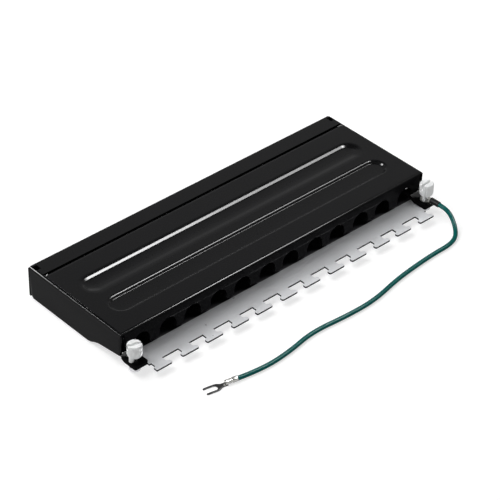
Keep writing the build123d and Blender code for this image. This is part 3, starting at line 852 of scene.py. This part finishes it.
@dataclass
class FoldedCover:
    """The black cover, with the soft rounded beads that a press leaves in the sheet."""

    node: str = "top_cover"
    name: str = "folded_cover"
    top: float = 24.0 * MM
    sheet: float = 1.2 * MM
    bend: float = 1.8 * MM
    seam: float = 41.15 * MM  # where the top meets the strip
    dip: float = 1.0 * MM
    dip_run: float = 2.9 * MM
    dip_rows: int = 7
    dip_half_length: float = 122.0 * MM
    bead_half_length: float = 106.5 * MM
    ring_step: float = 0.2 * MM
    arc_steps: int = 32
    near_until: float = -0.8  # how far towards +Y a bead's ring still has the near wall
    change: float = 1.3  # how much further it has the far wall
    soft_angle: float = 32.0
    flat_weight: int = 80
    beads: tuple[Bead, ...] = (
        Bead(
            15.0 * MM,
            1.65 * MM,
            far=((0.0, 0.0), (5.4, 3.0), (6.0, 12.0), (6.6, 30.0), (7.5, 31.0), (8.1, 16.0), (9.2, 6.0))
            + ((10.6, 0.0),),
            near=((0.0, 0.0), (1.5, 5.0), (4.8, 14.0), (6.8, 14.0), (8.8, 8.0), (10.6, 0.0)),
        ),
        Bead(
            -9.7 * MM,
            1.8 * MM,
            far=((0.0, 0.0), (5.9, 1.0), (6.35, 8.0), (6.6, 58.0), (7.3, 58.0), (7.9, 32.0), (9.0, 0.0)),
            near=((0.0, 0.0), (5.6, 1.0), (6.0, 20.0), (6.2, 37.0), (7.6, 37.0), (8.0, 20.0), (9.0, 0.0)),
        ),
    )

    def build(self, frame: dict, finishes: Finishes) -> None:
        """Makes the cover from a copy of its CAD mesh, with new beads.

        Args:
            finishes: The materials.
        """
        mesh = bmesh.new()
        mesh.from_mesh(frame["nodes"][self.node].data)
        bmesh.ops.remove_doubles(mesh, verts=mesh.verts, dist=0.001 * MM)
        self._open_top(mesh)
        self._dip_seam(mesh)
        self._close_top(mesh)
        piece = piece_of(mesh, self.name, finishes.of(Finishes.BLACK))
        smooth_by_angle(piece.data, self.soft_angle)
        weights = piece.modifiers.new("flat faces stay flat", "WEIGHTED_NORMAL")
        weights.keep_sharp = True
        weights.weight = self.flat_weight
        apply_modifiers(piece)
        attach(piece, Body.CASE.value)
        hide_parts(self.node)
        LOG.info("cover with %d beads", len(self.beads))

    def _open_top(self, mesh: bmesh.types.BMesh) -> None:
        """Takes out the flat top and the plain beads between the bends.

        Args:
            mesh: The cover's mesh.
        """
        low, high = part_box(self.node)
        slack = 0.01 * MM
        floor = self.top - self.sheet + slack

        def inside(vert: bmesh.types.BMVert) -> bool:
            """Whether a corner is on the top between the bends."""
            x, y, z = vert.co
            return abs(x) < high.x - self.bend + slack and y > low.y + self.bend - slack and z > floor

        top = [f for f in mesh.faces if f.normal.z > 0.3 and all(inside(v) for v in f.verts)]
        bmesh.ops.delete(mesh, geom=top, context="FACES")

    def _dip_seam(self, mesh: bmesh.types.BMesh) -> None:
        """Rolls the top down where it slips under the strip, except at the two ends.

        Args:
            mesh: The cover's mesh, with its top open.
        """
        level = self.top - 0.001 * MM
        slack = 0.02 * MM
        bmesh.ops.delete(mesh, geom=[v for v in mesh.verts if not v.link_faces], context="VERTS")
        rim = [e for e in mesh.edges if e.is_boundary and all(v.co.z > level for v in e.verts)]
        long_edge = next(e for e in rim if all(v.co.y > self.seam - slack for v in e.verts))
        corners = sorted(long_edge.verts, key=lambda v: v.co.x)
        for vert in mesh.verts:
            at_seam = abs(vert.co.y - self.seam) < slack and vert.co.z > level - slack
            if at_seam and abs(vert.co.x) < self.dip_half_length + slack:
                vert.co.z -= self.dip
        width = 2 * corners[1].co.x
        margin = corners[1].co.x - self.dip_half_length
        _, left = bmesh.utils.edge_split(long_edge, corners[0], margin / width)
        rest = next(e for e in left.link_edges if corners[1] in e.verts)
        _, right = bmesh.utils.edge_split(rest, left, 1 - margin / (width - margin))
        start = self.seam - self.dip_run
        tops = []
        for corner in corners:
            side_edge = next(e for e in corner.link_edges if e.is_boundary and e.other_vert(corner).co.y < 0)
            share = self.dip_run / side_edge.calc_length()
            tops.append(bmesh.utils.edge_split(side_edge, corner, share)[1])
        radius = (self.dip_run**2 + self.dip**2) / (2 * self.dip)
        rows = []
        for n in range(self.dip_rows):
            run = self.dip_run * n / self.dip_rows
            height = self.top - radius + math.sqrt(radius**2 - run**2)
            rows.append([mesh.verts.new((x, start + run, height)) for x in (left.co.x, right.co.x)])
        left.co.z = right.co.z = self.top - self.dip
        rows.append([left, right])
        for first, second in zip(rows, rows[1:]):
            mesh.faces.new((first[0], first[1], second[1], second[0]))
            mesh.faces.new((tops[0], first[0], second[0]))
            mesh.faces.new((tops[1], second[1], first[1]))
        mesh.faces.new((tops[0], left, corners[0]))
        mesh.faces.new((tops[1], corners[1], right))

    def _close_top(self, mesh: bmesh.types.BMesh) -> None:
        """Fills the top again, round the new beads.

        Args:
            mesh: The cover's mesh, with its top open.
        """
        level = self.top - 0.001 * MM
        rim = [e for e in mesh.edges if e.is_boundary and all(v.co.z > level for v in e.verts)]
        for bead in self.beads:
            rim.extend(self._press(mesh, bead))
        bmesh.ops.triangle_fill(mesh, use_beauty=True, edges=rim, normal=(0, 0, 1))

    def _press(self, mesh: bmesh.types.BMesh, bead: Bead) -> list[bmesh.types.BMEdge]:
        """Adds the rings of one bead.

        Args:
            mesh: The mesh that gets them.
            bead: The bead.

        Returns:
            The edges of its outer ring.
        """
        count = round(bead.reach / self.ring_step)
        distances = [bead.reach * n / count for n in range(count + 1)]
        far = bead.fall(bead.far, distances)
        near = bead.fall(bead.near, distances)
        rays = []
        for side in (1, -1):
            for step in range(self.arc_steps + 1):
                turn = math.pi * step / self.arc_steps
                rays.append((side * self.bead_half_length, side * math.sin(turn), side * math.cos(turn)))
        rings = []
        for distance, far_depth, near_depth in zip(distances[1:], far[1:], near[1:]):
            ring = []
            for x, across, along in rays:
                share = min(1.0, max(0.0, (along - self.near_until) / self.change))
                share = share * share * (3 - 2 * share)
                depth = far_depth * share + near_depth * (1 - share)
                place = (x + across * distance, bead.middle + along * distance, self.top - depth)
                ring.append(mesh.verts.new(place))
            rings.append(ring)
        size = len(rays)
        for inner, outer in zip(rings, rings[1:]):
            for n in range(size):
                m = (n + 1) % size
                mesh.faces.new((inner[n], outer[n], outer[m], inner[m]))
        mesh.faces.new(list(reversed(rings[0])))
        last = rings[-1]
        return [mesh.edges.get((last[n], last[(n + 1) % size])) for n in range(size)]


@dataclass
class Knob:
    """A clear thumbscrew knob: a ribbed body with a slot across its top and a small peg below."""

    node: str
    name: str
    body: Body
    slot_turn: float  # the slot's direction, in degrees from +X
    peg_turn: float  # the peg's direction from the axis, in degrees from +X
    peg_offset: float = 3.25 * MM
    peg_radius: float = 0.85 * MM
    peg_top: float = 0.80  # share of the height
    peg_steps: int = 28
    peg_foot: tuple[tuple[float, float], ...] = (
        (0.0, 0.45),
        (0.012, 0.75),
        (0.035, 0.94),
        (0.06, 1.0),
    )  # share of the height, share of the peg's radius
    radius: float = 4.75 * MM
    ribs: int = 22
    rib_depth: float = 0.10 * MM
    steps: int = 132
    slot_width: float = 1.9 * MM
    slot_foot: float = 0.74  # share of the height
    groove_depth: float = 0.7 * MM
    groove_angle: float = 9.0  # half of its width, in degrees
    edge: float = 0.14 * MM
    soft_angle: float = 35.0
    profile: tuple[tuple[float, float], ...] = (
        (0.12, 0.26),
        (0.18, 0.28),
        (0.20, 0.44),
        (0.26, 0.66),
        (0.32, 0.84),
        (0.38, 0.96),
        (0.45, 1.00),
        (0.74, 1.00),
        (0.90, 1.00),
        (0.95, 0.975),
        (0.98, 0.93),
        (1.00, 0.86),
    )  # share of the height, share of the radius

    def build(self, finishes: Finishes) -> None:
        """Makes the knob in its node's place.

        Args:
            finishes: The materials.
        """
        low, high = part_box(self.node)
        middle = (low + high) / 2
        height = high.z - low.z
        mesh = bmesh.new()
        full = [math.tau * n / self.steps for n in range(self.steps)]
        rows = [(share, width) for share, width in self.profile if share <= self.slot_foot]
        stack_rings(mesh, [self._ring(share * height, width, full) for share, width in rows])
        for side in (1, -1):
            stack_rings(mesh, self._lobe(height, side))
        stack_rings(mesh, self._peg(height))
        place = Matrix.Translation((middle.x, middle.y, low.z))
        piece = piece_of(mesh, self.name, finishes.of(Finishes.CLEAR), place)
        soften_edges(piece, self.edge, self.soft_angle)
        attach(piece, self.body.value)
        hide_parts(self.node)
        LOG.info("%s with %d ribs", self.name, self.ribs)

    def _reach(self, width: float, angle: float) -> float:
        """How far the body's side is from the axis, with its ribs and the groove by the peg.

        Args:
            width: The body's width there, as a share of its radius.
            angle: The direction from the axis, in radians.

        Returns:
            The distance.
        """
        rib = self.rib_depth * (0.5 - 0.5 * math.cos(self.ribs * angle)) if width > 0.9 else 0.0
        away = (math.degrees(angle) - self.peg_turn - 2 * self.groove_angle + 180) % 360 - 180
        share = max(0.0, 1.0 - abs(away) / self.groove_angle)
        return self.radius * width - rib - self.groove_depth * share * min(1.0, width)

    def _ring(self, lift: float, width: float, angles: Sequence[float]) -> list[Point]:
        """Points of the body's side at one height.

        Args:
            lift: The height.
            width: The body's width there, as a share of its radius.
            angles: The points' directions from the axis, in radians.

        Returns:
            The points.
        """
        points = []
        for angle in angles:
            reach = self._reach(width, angle)
            points.append((reach * math.cos(angle), reach * math.sin(angle), lift))
        return points

    def _lobe(self, height: float, side: int) -> list[list[Point]]:
        """The rings of what stands on one side of the slot.

        Args:
            height: The knob's height.
            side: 1 or -1.

        Returns:
            The rings, from the slot's foot up.
        """
        turn = math.radians(self.slot_turn) + (0.0 if side > 0 else math.pi)
        rings = []
        for share, width in self.profile:
            if share < self.slot_foot:
                continue
            start = math.asin(self.slot_width / 2 / (self.radius * width))
            sweep = math.pi - 2 * start
            count = self.steps // 2
            angles = [turn + start + sweep * n / count for n in range(count + 1)]
            rings.append(self._ring(share * height, width, angles))
        return rings

    def _peg(self, height: float) -> list[list[Point]]:
        """The rings of the peg, with a rounded foot.

        Args:
            height: The knob's height.

        Returns:
            The rings, from the foot up.
        """
        turn = math.radians(self.peg_turn)
        x, y = self.peg_offset * math.cos(turn), self.peg_offset * math.sin(turn)
        angles = [math.tau * n / self.peg_steps for n in range(self.peg_steps)]
        rings = []
        for share, width in self.peg_foot + ((self.peg_top, 1.0),):
            reach = self.peg_radius * width
            rings.append([(x + reach * math.cos(a), y + reach * math.sin(a), share * height) for a in angles])
        return rings


KNOBS = (
    Knob(
        "thumbscrew_knob_left",
        "clear_knob_left",
        Body.LEFT_SCREW,
        slot_turn=-17.0,
        peg_turn=178.0,
        peg_offset=2.6 * MM,
        peg_radius=1.45 * MM,
        peg_top=0.5,
        groove_depth=0.0,
    ),
    Knob(
        "thumbscrew_knob_right",
        "clear_knob_right",
        Body.RIGHT_SCREW,
        slot_turn=4.0,
        peg_turn=-160.0,
    ),
)


@dataclass
class GroundLead:
    """The green lead from the right thumbscrew to a spade terminal on the ground."""

    radius: float = 1.5 * MM
    length: float = 227.7 * MM
    screw: tuple[float, float] = (0.1228, -0.0414)
    lean: float = 2.0  # degrees from -Y towards +X
    ear_top: float = 7.7 * MM
    sleeve_end: float = 11.7 * MM
    straight: float = 6.2 * MM
    sleeve_lift: float = 2.05 * MM
    barrel_radius: float = 1.75 * MM
    barrel_length: float = 8.2 * MM
    neck_length: float = 2.6 * MM
    neck_width: float = 3.0 * MM
    fork_width: float = 6.2 * MM
    slot_width: float = 4.0 * MM
    fork_length: float = 11.2 * MM
    bridge: float = 2.6 * MM
    thick: float = 0.8 * MM
    edge: float = 0.12 * MM
    soft_angle: float = 40.0
    barrel_steps: int = 40
    slot_steps: int = 8

    def route(self) -> list[Point]:
        """Where the lead runs.

        Returns:
            Its control points, from the sleeve's end to the terminal.
        """
        lean = math.radians(self.lean)
        height = self.ear_top + self.sleeve_lift
        x, y = self.screw
        first = self.sleeve_end + self.straight
        floor = self.radius
        return [
            (x + self.sleeve_end * math.sin(lean), y - self.sleeve_end * math.cos(lean), height),
            (x + first * math.sin(lean), y - first * math.cos(lean), height),
            (0.1224, -0.0656, 0.0069),
            (0.1196, -0.0716, 0.0032),
            (0.1139, -0.0773, floor),
            (0.1050, -0.0800, floor),
            (0.0920, -0.0799, floor),
            (0.0740, -0.0811, floor),
            (0.0536, -0.0834, floor),
            (0.0300, -0.0886, floor),
            (0.0070, -0.0886, floor),
            (-0.0210, -0.0858, floor),
            (-0.0435, -0.0902, floor),
            (-0.0660, -0.0914, floor),
            (-0.0836, -0.0879, floor),
        ]

    def build(self, finishes: Finishes) -> None:
        """Makes the wire and its terminal.

        Args:
            finishes: The materials.
        """
        wire = self._wire(finishes.of(Finishes.WIRE))
        spade = self._spade(finishes.of(Finishes.TIN))
        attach(wire, Body.CASE.value)
        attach(spade, Body.CASE.value)
        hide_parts("ground_wire")
        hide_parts("spade_terminal")
        LOG.info("ground lead of %.0f mm", self.length / MM)

    def _wire(self, material: bpy.types.Material) -> bpy.types.Object:
        """The insulated wire as a round NURBS line.

        Args:
            material: The insulation.

        Returns:
            The wire.
        """
        curve = bpy.data.curves.new("ground_wire_lead", "CURVE")
        curve.dimensions = "3D"
        curve.resolution_u = 12
        curve.bevel_depth = self.radius
        curve.bevel_resolution = 6
        curve.use_fill_caps = True
        spline = curve.splines.new("NURBS")
        points = self.route()
        spline.points.add(len(points) - 1)
        for control, point in zip(spline.points, points):
            control.co = (*point, 1.0)
        spline.order_u = 3
        spline.use_endpoint_u = True
        curve.materials.append(material)
        return new_piece("ground_wire_lead", curve)

    def _terminal_place(self) -> Matrix:
        """Where the terminal lies: its own x runs on from the wire's end.

        Returns:
            The place, as a matrix.
        """
        before, end = (Vector(p) for p in self.route()[-2:])
        along = (end - before).normalized()
        up = Vector((0, 0, 1))
        turn = Matrix((along, up.cross(along), up)).transposed().to_4x4()
        return Matrix.Translation((end.x, end.y, 0.0)) @ turn

    def _barrel_profile(self) -> list[tuple[float, float]]:
        """The barrel's outline, with its two crimps.

        Returns:
            Distances along the barrel and its radius there.
        """
        radius = self.barrel_radius
        length = self.barrel_length
        waist = 0.80 * radius
        return [
            (0.00 * length, 0.80 * radius),
            (0.00 * length, 0.97 * radius),
            (0.03 * length, radius),
            (0.34 * length, radius),
            (0.38 * length, 0.94 * radius),
            (0.42 * length, waist),
            (0.50 * length, waist),
            (0.54 * length, 0.90 * radius),
            (0.62 * length, 0.92 * radius),
            (0.68 * length, 0.84 * radius),
            (0.76 * length, 0.84 * radius),
            (0.82 * length, 0.92 * radius),
            (0.97 * length, 0.92 * radius),
            (1.00 * length, 0.88 * radius),
            (1.00 * length, 0.60 * radius),
        ]

    def _fork_outline(self) -> list[tuple[float, float]]:
        """The fork's outline, with rounded shoulders, prong tips and slot.

        Returns:
            Its corners: distance along the terminal, distance from its middle line.
        """
        neck_end = self.barrel_length + self.neck_length
        fork_end = neck_end + self.fork_length
        half = self.fork_width / 2
        slot = self.slot_width / 2
        shoulder = neck_end + self.bridge
        prong = half - slot
        start = self.barrel_length - 1.5 * MM
        side = [
            (start, self.neck_width / 2),
            (neck_end - 0.8 * MM, self.neck_width / 2),
            (neck_end + 0.2 * MM, self.neck_width / 2 + 0.25 * MM),
            (shoulder - 0.5 * MM, half - 0.25 * MM),
            (shoulder + 0.8 * MM, half),
            (fork_end - 0.9 * MM, half),
            (fork_end - 0.3 * MM, half - 0.25 * prong),
            (fork_end, half - 0.6 * prong),
            (fork_end - 0.15 * MM, slot + 0.1 * prong),
            (fork_end - 0.7 * MM, slot),
        ]
        turns = [math.pi / 2 * n / self.slot_steps for n in range(self.slot_steps + 1)]
        arc = [(shoulder + slot - slot * math.sin(t), slot * math.cos(t)) for t in turns]
        half_outline = side + arc
        return half_outline + [(x, -y) for x, y in reversed(half_outline[:-1])]

    def _spade(self, material: bpy.types.Material) -> bpy.types.Object:
        """The crimped spade terminal, lying on the ground.

        Args:
            material: The tinned metal.

        Returns:
            The terminal.
        """
        mesh = bmesh.new()
        lift = self.barrel_radius
        angles = [math.tau * n / self.barrel_steps for n in range(self.barrel_steps)]
        barrel = []
        for along, radius in self._barrel_profile():
            barrel.append([(along, radius * math.cos(a), lift + radius * math.sin(a)) for a in angles])
        stack_rings(mesh, barrel)
        outline = self._fork_outline()
        stack_rings(mesh, [[(x, y, z) for x, y in outline] for z in (0.0, self.thick)])
        bmesh.ops.recalc_face_normals(mesh, faces=mesh.faces)
        piece = piece_of(mesh, "spade_end", material, self._terminal_place())
        soften_edges(piece, self.edge, self.soft_angle)
        return piece


@dataclass
class JackContacts:
    """The sprung contact wires in every jack, eight side by side."""

    count: int = 8
    pitch: float = 1.02 * MM
    thick: float = 0.36 * MM
    reach: float = 11.6 * MM
    rise: float = 2.1 * MM
    floor: float = 2.2 * MM
    depth: float = 14.0 * MM
    bend: float = 0.42  # where the spring turns down, as a share of its reach
    bend_steps: int = 14

    def _tree(self, material: bpy.types.Material) -> GeometryTree:
        """One row of bent springs, repeated at each jack.

        Args:
            material: The springs' material.

        Returns:
            The finished tree.
        """
        sizes = {
            "Count": self.count,
            "Pitch": self.pitch,
            "Thickness": self.thick,
            "Reach": self.reach,
            "Rise": self.rise,
        }
        tree = GeometryTree("contact_springs", sizes)
        spring = tree.node(
            "GeometryNodeCurveQuadraticBezier",
            inputs={
                "Resolution": self.bend_steps,
                "Start": tree.vector(z=tree.size("Rise")),
                "Middle": tree.vector(y=tree.times(tree.size("Reach"), self.bend), z=tree.size("Rise")),
                "End": tree.vector(y=tree.size("Reach")),
            },
        )
        profile = tree.node(
            "GeometryNodeCurvePrimitiveQuadrilateral",
            inputs={"Width": tree.size("Thickness"), "Height": tree.size("Thickness")},
        )
        wire = tree.node(
            "GeometryNodeCurveToMesh",
            inputs={"Curve": spring, "Profile Curve": profile, "Fill Caps": True},
        )
        row = tree.node(
            "GeometryNodeMeshLine",
            inputs={"Count": tree.size("Count"), "Offset": tree.vector(x=tree.size("Pitch"))},
        )
        comb = tree.node("GeometryNodeInstanceOnPoints", inputs={"Points": row, "Instance": wire})
        combs = tree.node(
            "GeometryNodeInstanceOnPoints",
            inputs={"Points": tree.input.outputs["Geometry"], "Instance": comb},
        )
        tree.end(combs, material)
        return tree

    def build(self, frame: dict, finishes: Finishes) -> None:
        """Makes the springs of all jacks as one piece.

        Args:
            finishes: The materials.
        """
        material = finishes.of(Finishes.GOLD)
        places = []
        for name in sorted(n for n in frame["nodes"] if n.startswith("jack_insert_")):
            low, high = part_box(name)
            start = (low.x + high.x) / 2 - self.pitch * (self.count - 1) / 2
            places.append((start, high.y - self.depth, low.z + self.floor + self.thick / 2))
        piece = self._tree(material).grow("contact_springs", places, material)
        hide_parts("jack_contacts")
        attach(piece, Body.CASE.value)
        LOG.info("contact springs in %d jacks", len(places))


@dataclass(frozen=True)
class Lamp:
    """A square soft lamp aimed at the object."""

    name: str
    place: Point
    size: float
    power: float
    lights: bool = True
    shows_in_gloss: bool = True
    target: Point = (0.0, -0.01, 0.01)

    def build(self) -> None:
        """Adds the lamp to the scene."""
        data = bpy.data.lights.new(self.name, "AREA")
        data.shape = "SQUARE"
        data.size = self.size
        data.energy = self.power
        lamp = bpy.data.objects.new(self.name, data)
        lamp.location = self.place
        aim = Vector(self.place) - Vector(self.target)
        lamp.rotation_mode = "QUATERNION"
        lamp.rotation_quaternion = aim.to_track_quat("Z", "Y")
        lamp.visible_diffuse = self.lights
        lamp.visible_glossy = self.shows_in_gloss
        bpy.context.scene.collection.objects.link(lamp)


@dataclass
class Studio:
    """A white floor, a backdrop that is white low down and dims upwards, and soft lamps."""

    floor_size: float = 8.0
    floor_drop: float = 0.02 * MM
    floor_albedo: float = 0.50
    floor_glow: float = 0.62
    backdrop: tuple[tuple[float, float], ...] = (
        (0.0, 1.0),
        (0.10, 0.70),
        (0.30, 0.40),
        (0.60, 0.62),
        (0.76, 0.16),
        (0.90, 0.05),
    )  # height of the direction, from 0 at the horizon to 1 overhead, and brightness there
    lamps: tuple[Lamp, ...] = (
        Lamp("key_lamp", (-0.34, 0.74, 1.37), 1.40, 26.0, shows_in_gloss=False),
        Lamp("front_lamp", (0.86, -0.40, 1.29), 0.62, 38.0, lights=False),
        Lamp("front_left_lamp", (0.60, -0.42, 1.36), 0.36, 26.0, lights=False),
        Lamp("edge_lamp", (-0.95, 0.92, 0.88), 0.50, 46.0, lights=False),
    )

    def build(self) -> None:
        """Makes the floor, the world and the lamps."""
        self._floor()
        self._world()
        for lamp in self.lamps:
            lamp.build()
        LOG.info("studio with %d lamps", len(self.lamps))

    def _floor(self) -> None:
        """The floor: plain and pale, and white away from shadows."""
        half = self.floor_size / 2
        mesh = bpy.data.meshes.new("floor")
        corners = [(-half, -half), (half, -half), (half, half), (-half, half)]
        mesh.from_pydata([(x, y, -self.floor_drop) for x, y in corners], [], [(0, 1, 2, 3)])
        tree = ShaderTree(bpy.data.materials.new("floor"))
        rays = [
            tree.node("ShaderNodeLightPath", output=f"Is {kind} Ray")
            for kind in ("Camera", "Glossy", "Transmission")
        ]
        seen = (rays[0] + rays[1] + rays[2]).above(0.5, 1.0)
        color = tree.mix(
            tree.noise(0.5) * 0.02, (self.floor_albedo,) * 3, (self.floor_albedo * 0.97,) * 3
        )
        plain = tree.node("ShaderNodeBsdfDiffuse", inputs={"Color": color})
        glow = tree.node(
            "ShaderNodeEmission", inputs={"Color": (1.0, 1.0, 1.0), "Strength": seen * self.floor_glow}
        )
        shader = tree.node("ShaderNodeAddShader", inputs={0: plain, 1: glow})
        mesh.materials.append(tree.finish(shader))
        new_piece("floor", mesh)

    def _world(self) -> None:
        """The backdrop all round."""
        tree = ShaderTree(bpy.data.worlds.new("studio"))
        height = tree.part(tree.node("ShaderNodeTexCoord", output="Generated"), "Z")
        stops = [(place, (level,) * 3) for place, level in self.backdrop]
        color = tree.node("ShaderNodeValToRGB", {"stops": stops}, {"Fac": height})
        bpy.context.scene.world = tree.finish(tree.node("ShaderNodeBackground", inputs={"Color": color}))


@dataclass(frozen=True)
class PhotoCamera:
    """The camera, where the case's straight edges in the photograph put it."""

    place: Point = (-0.7320, -0.7941, 0.8241)
    azimuth: float = -42.919
    elevation: float = 37.202
    roll: float = -1.134
    lens: float = 154.67
    sensor: float = 36.0

    def build(self) -> None:
        """Adds the camera and makes it the scene's own."""
        azimuth = math.radians(self.azimuth)
        elevation = math.radians(self.elevation)
        roll = math.radians(self.roll)
        flat = math.cos(elevation)
        back = Vector((math.sin(azimuth) * flat, -math.cos(azimuth) * flat, math.sin(elevation)))
        level_right = (-back).cross(Vector((0, 0, 1))).normalized()
        level_up = level_right.cross(-back)
        right = math.cos(roll) * level_right - math.sin(roll) * level_up
        up = math.sin(roll) * level_right + math.cos(roll) * level_up
        data = bpy.data.cameras.new("photo_camera")
        data.lens = self.lens
        data.sensor_width = self.sensor
        data.clip_start = 0.05
        data.clip_end = 50.0
        camera = bpy.data.objects.new("photo_camera", data)
        turn = Matrix((right, up, back)).transposed().to_4x4()
        camera.matrix_world = Matrix.Translation(self.place) @ turn
        bpy.context.scene.collection.objects.link(camera)
        bpy.context.scene.camera = camera
        LOG.info("camera at azimuth %.1f, elevation %.1f", self.azimuth, self.elevation)


def main() -> None:
    """Builds the scene in order and reports each piece."""
    logging.basicConfig(level=logging.INFO, format="%(name)s: %(message)s")
    bpy.ops.wm.read_factory_settings(use_empty=True)
    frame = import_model()
    bpy.context.scene.view_settings.view_transform = "Standard"
    PhotoCamera().build()
    finishes = Finishes()
    finishes.dress_frame(frame)
    GroundLead().build(finishes)
    FoldedCover().build(frame, finishes)
    for knob in KNOBS:
        knob.build(finishes)
    JackContacts().build(frame, finishes)
    Studio().build()


if __name__ == "__main__":
    main()
